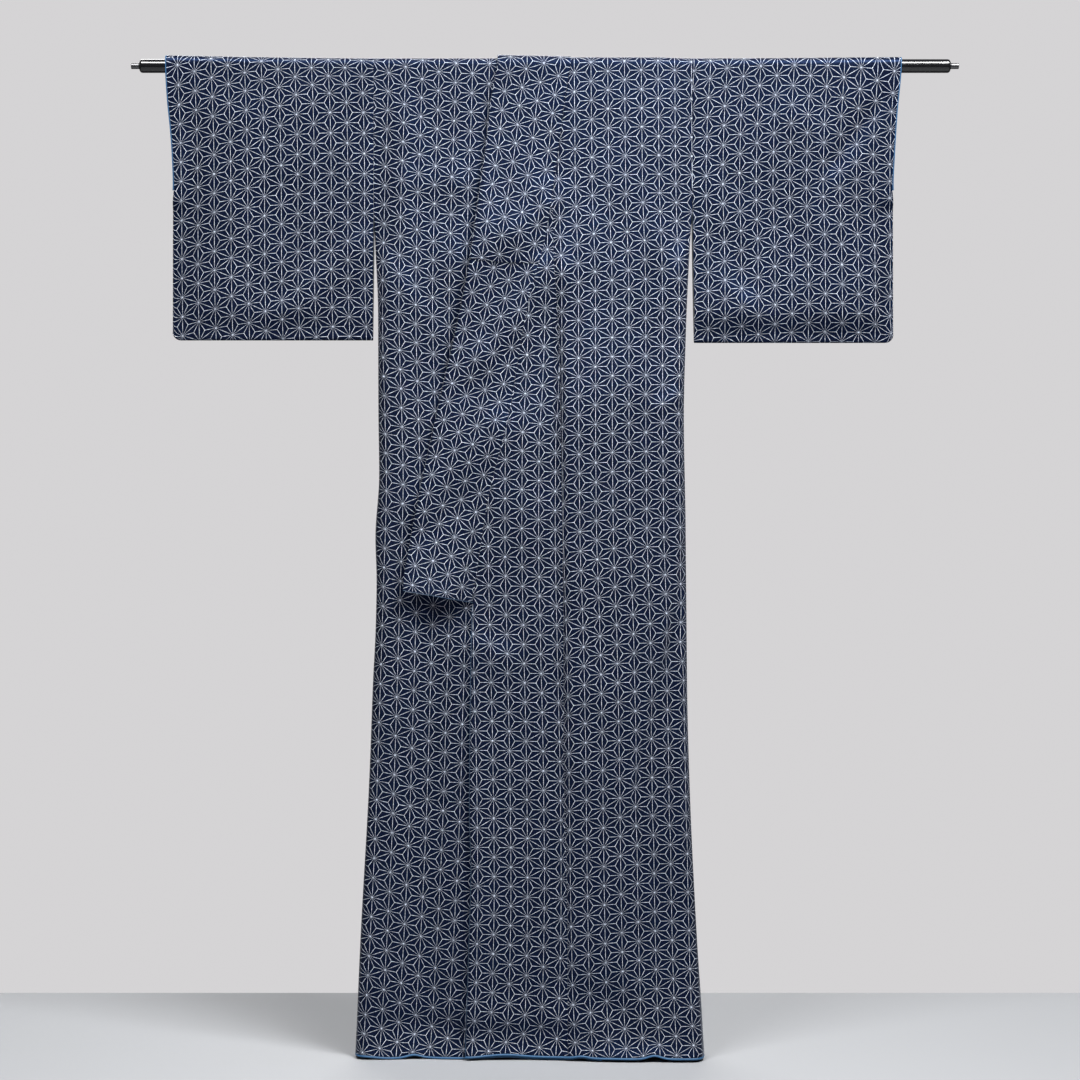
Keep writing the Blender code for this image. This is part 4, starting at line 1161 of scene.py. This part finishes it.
def hemp_leaf_lines(across, down):
    """How far a place is from the nearest line of the pattern, and how near to a star."""
    column = across / COLUMN_SPACING
    row = down / STAR_SPACING - column * 0.5
    shares = [calc("FLOORED_MODULO", part, 1.0) for part in (column, row)]
    far_half = calc("GREATER_THAN", shares[0] + shares[1], 1.0)
    # In the far half of each lozenge the triangle is turned round
    first, second = (share + far_half * (1.0 - share * 2.0) for share in shares)
    third = 1.0 - first - second
    least = calc("MINIMUM", calc("MINIMUM", first, second), third)
    most = calc("MAXIMUM", calc("MAXIMUM", first, second), third)
    middle = 1.0 - least - most
    to_ray = (middle - least) * (COLUMN_SPACING / math.sqrt(3))
    return calc("MINIMUM", least * COLUMN_SPACING, to_ray), most


def komon_silk():
    """Navy silk crepe with a fine white hemp-leaf pattern, dyed small and even."""
    material, tree, shader = new_material("komon_silk")
    place, across, down = woven_place(tree)
    nearest, most = hemp_leaf_lines(across, down)
    nearest = nearest + (noise(place, 900.0, 1.0) - 0.5) * (LINE_WIDTH * 0.5)
    # The lines taper towards the stars, so that these stay small points
    nearest = nearest * (ramp(most, 0.60, 0.93) * 1.6 + 1.0)
    line = 1.0 - ramp(nearest, LINE_WIDTH * 0.32, LINE_WIDTH * 0.68)
    mark = calc("MAXIMUM", line, ramp(most, 0.955, 0.978))
    # Some stretches of the lines took less of the resist and are fainter
    mark = mark * (1.0 - ramp(noise(place, 300.0), 0.40, 0.60) * 0.48)
    ground = blend_colours(ramp(noise(place, 9.0, 4.0), 0.3, 0.7), *DYE)
    fleck = ramp(noise(place, 480.0), 0.42, 0.66)
    ground = blend_colours(fleck * 0.55, ground, DYE_FLECK)
    # The dye is deepest right beside the lines
    clear = ramp(nearest, LINE_WIDTH * 0.7, LINE_WIDTH * 2.6)
    ground = blend_colours(clear, DYE_BESIDE_LINES, ground)
    crepe = noise(place, 1700.0, 2.0, 0.6) + noise(place, 520.0, 1.0) * 0.6
    set_inputs(shader, {
        "Base Color": blend_colours(mark, ground, LINES), "Roughness": fleck * 0.08 + 0.35,
        "Specular IOR Level": 0.24, "Specular Tint": DYE_GLOSS,
        "Sheen Weight": 0.03, "Sheen Roughness": 0.45, "Sheen Tint": DYE_SHEEN,
        "Normal": bump(crepe, 0.35, 0.00025),
    })
    return material


def plain_silk(name, tones, roughness):
    """A plain woven silk with fine threads and a slow change of tone."""
    material, tree, shader = new_material(name)
    place, across, down = woven_place(tree)
    threads = [calc("SINE", part * (2 * math.pi / THREAD)) for part in (across, down)]
    set_inputs(shader, {
        "Base Color": blend_colours(ramp(noise(place, 14.0, 3.0), 0.3, 0.7), *tones),
        "Roughness": roughness, "Sheen Weight": 0.25, "Sheen Roughness": 0.35,
        "Normal": bump(threads[0] * threads[1], 0.25, 0.0001),
    })
    return material


def black_lacquer():
    """Deep black lacquer with faint waves and dust in its gloss."""
    material, tree, shader = new_material("black_lacquer")
    place = object_place(tree, (0.25, 1.0, 1.0))
    dust = ramp(noise(place, 260.0, 4.0), 0.45, 0.8)
    set_inputs(shader, {
        "Base Color": blend_colours(noise(place, 30.0, 3.0), *LACQUER),
        "Roughness": dust * 0.16 + 0.16, "Coat Weight": 0.6, "Coat Roughness": 0.08,
        "Normal": bump(noise(place, 90.0), 0.06, 0.0006),
    })
    return material


def brushed_steel():
    """Grey metal with fine lines turned round the peg."""
    material, tree, shader = new_material("brushed_steel")
    lines = noise(object_place(tree, (1.0, 0.05, 0.05)), 2600.0)
    set_inputs(shader, {
        "Base Color": blend_colours(lines, *METAL), "Metallic": 1.0,
        "Roughness": lines * 0.14 + 0.28, "Normal": bump(lines, 0.12, 0.0001),
    })
    return material


def floor_paint():
    """Pale paint, dimmer as light on the cloth than it looks."""
    material, tree, shader = new_material("pale_floor")
    tone = noise(object_place(tree), 1.6, 3.0)
    lit, seen = (blend_colours(tone, *tones) for tones in (FLOOR_LIT, FLOOR_SEEN))
    set_inputs(shader, {"Base Color": blend_colours(is_seen(tree), lit, seen), "Roughness": 0.55})
    return material


def turned_piece(name, profile, centre_x, material, sides):
    """A round piece along X, turned from a profile of (x, radius)."""
    turns = 2 * math.pi * np.arange(sides) / sides
    profile = np.array(profile)
    loops = np.stack(np.broadcast_arrays(
        profile[:, :1] + centre_x,
        profile[:, 1:] * np.cos(turns)[None, :],
        profile[:, 1:] * np.sin(turns)[None, :]), axis=-1)
    return finished_mesh(name, mesh_of_loops(name, loops), [material])


def round_profile(length, radius, rounding, steps):
    """The outline of a rod with rounded ends, from one end's centre to the other's."""
    turns = np.linspace(0.0, QUARTER, steps + 1)
    end = [
        (-length / 2 + rounding * (1 - math.cos(t)), radius - rounding * (1 - math.sin(t)))
        for t in turns]
    inset = min(MIDDLE_INSET, length / 4)
    middle = [(x, radius) for x in np.linspace(inset - length / 2, length / 2 - inset, MIDDLE_RINGS)]
    other = [(-x, r) for x, r in reversed(end)]
    return [(-length / 2, 0.0)] + end + middle + other + [(length / 2, 0.0)]


def facing_rows(points):
    """Blue facing inside the lower part of a panel and white lining above it."""
    drop = -points[:-1, :-1, 2]
    return np.where(drop > FACING_TOP_DROP, BLUE_SLOT, WHITE_SLOT)


def make_body(name, upper, silks, weave):
    runs = body_runs()
    places = body_places(runs, upper)
    points = body_points(places, runs[:, None], upper)
    points[..., 2] += hem_shift(places, runs[:, None], upper)
    normals = grid_normals(points)
    points = soften(points, normals, runs, "first")
    return cloth(name, points, weave_places(points, weave), silks, inside=facing_rows(points))


def make_okumi(name, upper, silks, weave):
    drops = even(OKUMI_TOP_DROP + BELOW_OKUMI, HEM_DROP, ROW_STEP)
    places = okumi_places(drops, upper)
    runs = 1.0 + drops
    points = okumi_points(places, runs[:, None], upper)
    points[..., 2] += hem_shift(places, runs[:, None], upper)
    normals = grid_normals(points)
    points = soften(points, normals, runs, "last")
    if not upper:
        column = tuple(Edge(place.drop, mirrored(place.x)) for place in weave.column)
        weave = weave._replace(column=column)
    item = cloth(name, points, weave_places(points, weave), silks, inside=facing_rows(points))
    return item, points


def make_collar(name, silks):
    """One band: down the left front, round behind the neck and down the right front."""
    upper, upper_runs = collar_strip(True)
    under, under_runs = collar_strip(False)
    turns = math.pi * np.arange(1, BOTTOM_STEPS) / BOTTOM_STEPS
    middle = (rod_wrap_radius(True) + rod_wrap_radius(False)) / 2
    fold = np.repeat(upper[-1:], len(turns), axis=0)
    fold[..., 1] = middle + LAYER_LIFT_AT_ROD / 2 * np.cos(turns)[:, None]
    fold[..., 2] = -NECK_BAND_DROP - LAYER_LIFT_AT_ROD / 2 * np.sin(turns)[:, None]
    points = np.concatenate((upper, fold, under[::-1, ::-1]))
    runs = np.concatenate((upper_runs, np.full(len(turns), -1.0), under_runs[::-1]))
    normals = grid_normals(points)
    points = soften(points, normals, runs, "first")
    item = cloth(name, points, weave_places(points, COLLAR_WEAVE), silks)
    count = len(upper)
    return item, points[:count], normals[:count], upper_runs


def make_cover(name, strip, normals, runs, silks):
    """The cover lies on the collar from above its end, over the rod to behind the neck."""
    first = int(np.argmax(runs - 1.0 <= COVER_END_DROP))
    lift = CLOTH / 2 + SEAM_GAP + COVER_CLOTH / 2
    points = strip[first:] + normals[first:] * lift
    share = np.linspace(0.0, 1.0, points.shape[1])
    above = unit(points[1] - points[0])
    for row in range(COVER_SLANT_ROWS):
        points[row] += above * (COVER_END_SLANT * share * (1 - row / COVER_SLANT_ROWS))[:, None]
    return cloth(name, points, weave_places(points, COVER_WEAVE), silks, thickness=COVER_CLOTH)


def make_sleeve(name, sleeve, silks):
    width = abs(sleeve.cuff[-1].x - sleeve.seam[-1].x)
    corner = SLEEVE_CORNER_RADIUS / width
    turns = QUARTER * np.arange(1, CORNER_COLUMNS + 1) / CORNER_COLUMNS
    straight = even(SEAM_GAP / 2 / width, 1.0 - corner, COLUMN_STEP / width)
    shares = np.concatenate((straight, 1.0 - corner * (1.0 - np.sin(turns))))
    rows = int(round(sleeve.bottom / ROW_STEP))
    down = np.linspace(0.0, 1.0, rows + 1)[1:]
    over = np.linspace(0.0, 1.0, ARC_STEPS + 1)
    under = np.linspace(0.0, 0.5, BOTTOM_STEPS // 2 + 1)[1:]
    half = np.concatenate((over, 1.0 + down, 2.0 + under))
    parts = np.concatenate((5.0 - half[::-1], 5.0 + half[1:]))
    points = sleeve_points(sleeve, shares[None, :], parts[:, None])
    points[-1] = points[0]
    normals = grid_normals(points, True)
    drops = np.maximum(-points[:, 0, 2], 0.0)
    runs = np.where(drops < SLEEVE_SEAM_DROP, 1.0 + drops, 1.0)
    points = soften(points, normals, runs, "first")
    points[-1] = points[0]
    near_cuff = np.abs(sleeve.cuff[-1].x - points[:-1, :-1, 0]) < CUFF_FACING_WIDTH
    inside = np.where(near_cuff, BLUE_SLOT, WHITE_SLOT)
    places = weave_places(points, sleeve.weave)
    return cloth(name, points, places, silks, ring=True, inside=inside)


def cuff_edge(name, sleeve, material):
    """The lining's thin edge past the cuff, from the opening's front over the rod."""
    length = (CUFF_OPENING - CUFF_ROLL_MARGIN) / sleeve.bottom
    over = np.linspace(0.0, 1.0, ARC_STEPS + 1)
    half = np.concatenate((over, 1.0 + even(0.0, length, CUFF_ROLL_STEP)[1:]))
    parts = np.concatenate((5.0 + half[::-1], 5.0 - half[1:]))
    line = sleeve_points(sleeve, np.array([[CUFF_ROLL_PROBE, 1.0]]), parts[:, None])
    ahead = np.gradient(line[:, 1], axis=0)
    outward = np.array((sleeve.side, 0.0, 0.0))
    normals = unit(np.cross(np.broadcast_to(outward, ahead.shape), ahead))
    centres = line[:, 1] + outward * (SEAM_GAP + CUFF_ROLL_WIDTH / 2)
    width = np.broadcast_to(outward * CUFF_ROLL_WIDTH / 2, centres.shape)
    return tube(name, centres, normals * CUFF_ROLL / 2, width, material)


def hem_edge(name, upper, material):
    """The lining rolled out past the hem, along the front, round the side and behind."""
    drops = np.array((HEM_DROP - HEM_ROLL_PROBE, HEM_DROP))
    front = 1.0 + drops
    back = -1.0 - drops
    stretches = (
        (okumi_places(drops, upper)[:, :-1], front, okumi_points),
        (body_places(front, upper), front, body_points),
        (body_places(back, upper)[:, ::-1], back, body_points),
    )
    lines = []
    for places, runs, points_at in stretches:
        points = points_at(places, runs[:, None], upper)
        points[..., 2] += hem_shift(places, runs[:, None], upper)
        lines.append(points)
    points = np.concatenate(lines, axis=1)
    down = unit(points[1] - points[0])
    across = unit(np.gradient(points[1], axis=0))
    normals = unit(np.cross(down, across))
    centres = points[1] + down * (SEAM_GAP + HEM_ROLL_HEIGHT / 2)
    return tube(name, centres, normals * HEM_ROLL / 2, down * HEM_ROLL_HEIGHT / 2, material)


def thin_edge(name, edge, inside, material):
    """A sliver of lining past a free edge of the cloth."""
    outward = unit(edge - inside)
    ahead = unit(np.gradient(edge, axis=0))
    normals = unit(np.cross(outward, ahead))
    centres = edge + outward * (SEAM_GAP + EDGE_ROLL_WIDTH / 2)
    return tube(name, centres, normals * EDGE_ROLL / 2, outward * EDGE_ROLL_WIDTH / 2, material)


def dress(item, nodes):
    """Every piece rides on the one body, and the imported parts that it stands for are hidden."""
    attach(item, "root")
    if nodes:
        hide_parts(*nodes)


def make_pieces():
    white = plain_silk("white_lining", WHITE_LINING, 0.5)
    blue = plain_silk("blue_facing", BLUE_FACING, 0.45)
    navy = plain_silk("turned_edge", TURNED_EDGE, 0.60)
    silks = [komon_silk(), white, blue]

    right_body = make_body("right_body_cloth", False, silks, RIGHT_BODY_WEAVE)
    left_body = make_body("left_body_cloth", True, silks, LEFT_BODY_WEAVE)
    right_okumi, _ = make_okumi("right_okumi_cloth", False, silks, OKUMI_WEAVE)
    left_okumi, okumi_grid = make_okumi("left_okumi_cloth", True, silks, OKUMI_WEAVE)
    right_sleeve = make_sleeve("right_sleeve_cloth", RIGHT_SLEEVE, silks)
    left_sleeve = make_sleeve("left_sleeve_cloth", LEFT_SLEEVE, silks)
    collar, strip, strip_normals, strip_runs = make_collar("collar_cloth", silks)
    cover = make_cover("collar_cover_cloth", strip, strip_normals, strip_runs, silks)
    for item, node in (
            (right_body, "right_body"), (left_body, "left_body"), (right_okumi, "right_okumi"),
            (left_okumi, "left_okumi"), (right_sleeve, "right_sleeve"),
            (left_sleeve, "left_sleeve"), (collar, "collar"), (cover, "collar_cover")):
        dress(item, [node])

    right_hem = hem_edge("right_hem_edge", False, blue)
    left_hem = hem_edge("left_hem_edge", True, blue)
    right_cuff = cuff_edge("right_cuff_edge", RIGHT_SLEEVE, blue)
    left_cuff = cuff_edge("left_cuff_edge", LEFT_SLEEVE, blue)
    for item, node in (
            (right_hem, "right_hem_lining"), (left_hem, "left_hem_lining"),
            (right_cuff, "right_cuff_lining"), (left_cuff, "left_cuff_lining")):
        dress(item, [node])
    collar_end = thin_edge("collar_end_edge", strip[0], strip[1], navy)
    below = okumi_grid[:, 0, 2] < -COLLAR_SEAM_END_DROP - EDGE_ROLL_MARGIN
    okumi_edge = thin_edge("left_okumi_edge", okumi_grid[below, 0], okumi_grid[below, 1], navy)
    dress(collar_end, [])
    dress(okumi_edge, [])

    outline = round_profile(ROD_LENGTH, ROD_RADIUS, ROD_END_ROUNDING, ROD_END_STEPS)
    rod = turned_piece("lacquered_rod", outline, 0.0, black_lacquer(), ROD_SIDES)
    dress(rod, ["rod"])
    steel = brushed_steel()
    outline = round_profile(PEG_LENGTH, PEG_RADIUS, PEG_END_ROUNDING, PEG_END_STEPS)
    for side in ("left", "right"):
        low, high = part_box(f"rod_peg_{side}")
        middle = (low[0] + high[0]) / 2
        peg = turned_piece(f"steel_peg_{side}", outline, middle, steel, PEG_SIDES)
        dress(peg, [f"rod_peg_{side}"])


# The stage: a plain pale floor, soft light from above and in front, and the camera
FLOOR_Z = -1.6935
FLOOR_BACK = 0.55
FLOOR_FRONT = -3.2
FLOOR_SIDE = 3.0
WORLD_LIGHT = 0.07
CAMERA_PLACE = (-0.0085, -4.007, -0.8115)
CAMERA_LENS = 78.0
CAMERA_SENSOR = 36.0
WARM = (1.0, 0.995, 0.99)
COOL = (0.80, 0.90, 1.0)
Lamp = namedtuple("Lamp", "name place target width height power colour spread")
LAMPS = (
    Lamp("ceiling_right", (1.80, -2.00, 2.85), (0.0, 0.0, -0.6), 1.6, 1.1, 308.0, WARM, 180),
    Lamp("ceiling_left", (-1.55, -2.10, 2.95), (0.0, 0.0, -0.6), 1.6, 1.1, 154.0, WARM, 180),
    Lamp("front", (0.3, -3.4, 1.30), (0.0, 0.0, -0.6), 1.4, 0.8, 9.0, COOL, 180),
    Lamp("beam", (0.80, -2.60, 1.50), (-0.02, 0.0, -0.62), 0.5, 0.5, 1.25, WARM, 28),
    Lamp("behind", (-0.4, 2.4, 1.2), (0.0, 0.0, -0.7), 2.4, 1.6, 60.0, (1.0, 0.99, 0.98), 180),
)


def make_floor():
    mesh = bpy.data.meshes.new("floor")
    corners = [
        (-FLOOR_SIDE, FLOOR_FRONT, FLOOR_Z), (FLOOR_SIDE, FLOOR_FRONT, FLOOR_Z),
        (FLOOR_SIDE, FLOOR_BACK, FLOOR_Z), (-FLOOR_SIDE, FLOOR_BACK, FLOOR_Z)]
    mesh.from_pydata(corners, [], [(0, 1, 2, 3)])
    mesh.materials.append(floor_paint())
    floor = bpy.data.objects.new("floor", mesh)
    bpy.context.scene.collection.objects.link(floor)


def make_lamp(lamp):
    data = bpy.data.lights.new(lamp.name, "AREA")
    data.shape = "RECTANGLE"
    data.size = lamp.width
    data.size_y = lamp.height
    data.energy = lamp.power
    data.color = lamp.colour
    data.spread = math.radians(lamp.spread)
    item = bpy.data.objects.new(lamp.name, data)
    item.location = lamp.place
    towards = Vector(lamp.target) - Vector(lamp.place)
    item.rotation_euler = towards.to_track_quat("-Z", "Y").to_euler()
    bpy.context.scene.collection.objects.link(item)


def make_world():
    """Pale all round, dimmer as light than it looks."""
    world = bpy.data.worlds.new("studio")
    bpy.context.scene.world = world
    world.use_nodes = True
    tree = world.node_tree
    strength = is_seen(tree) * (1.0 - WORLD_LIGHT) + WORLD_LIGHT
    set_inputs(tree.nodes["Background"], {"Color": WALL, "Strength": strength})


def make_camera():
    data = bpy.data.cameras.new("camera")
    data.lens = CAMERA_LENS
    data.sensor_width = CAMERA_SENSOR
    camera = bpy.data.objects.new("camera", data)
    camera.location = CAMERA_PLACE
    camera.rotation_euler = (QUARTER, 0.0, 0.0)
    bpy.context.scene.collection.objects.link(camera)
    bpy.context.scene.camera = camera


bpy.context.scene.view_settings.view_transform = "Standard"
make_camera()
make_pieces()
make_floor()
make_world()
for lamp in LAMPS:
    make_lamp(lamp)
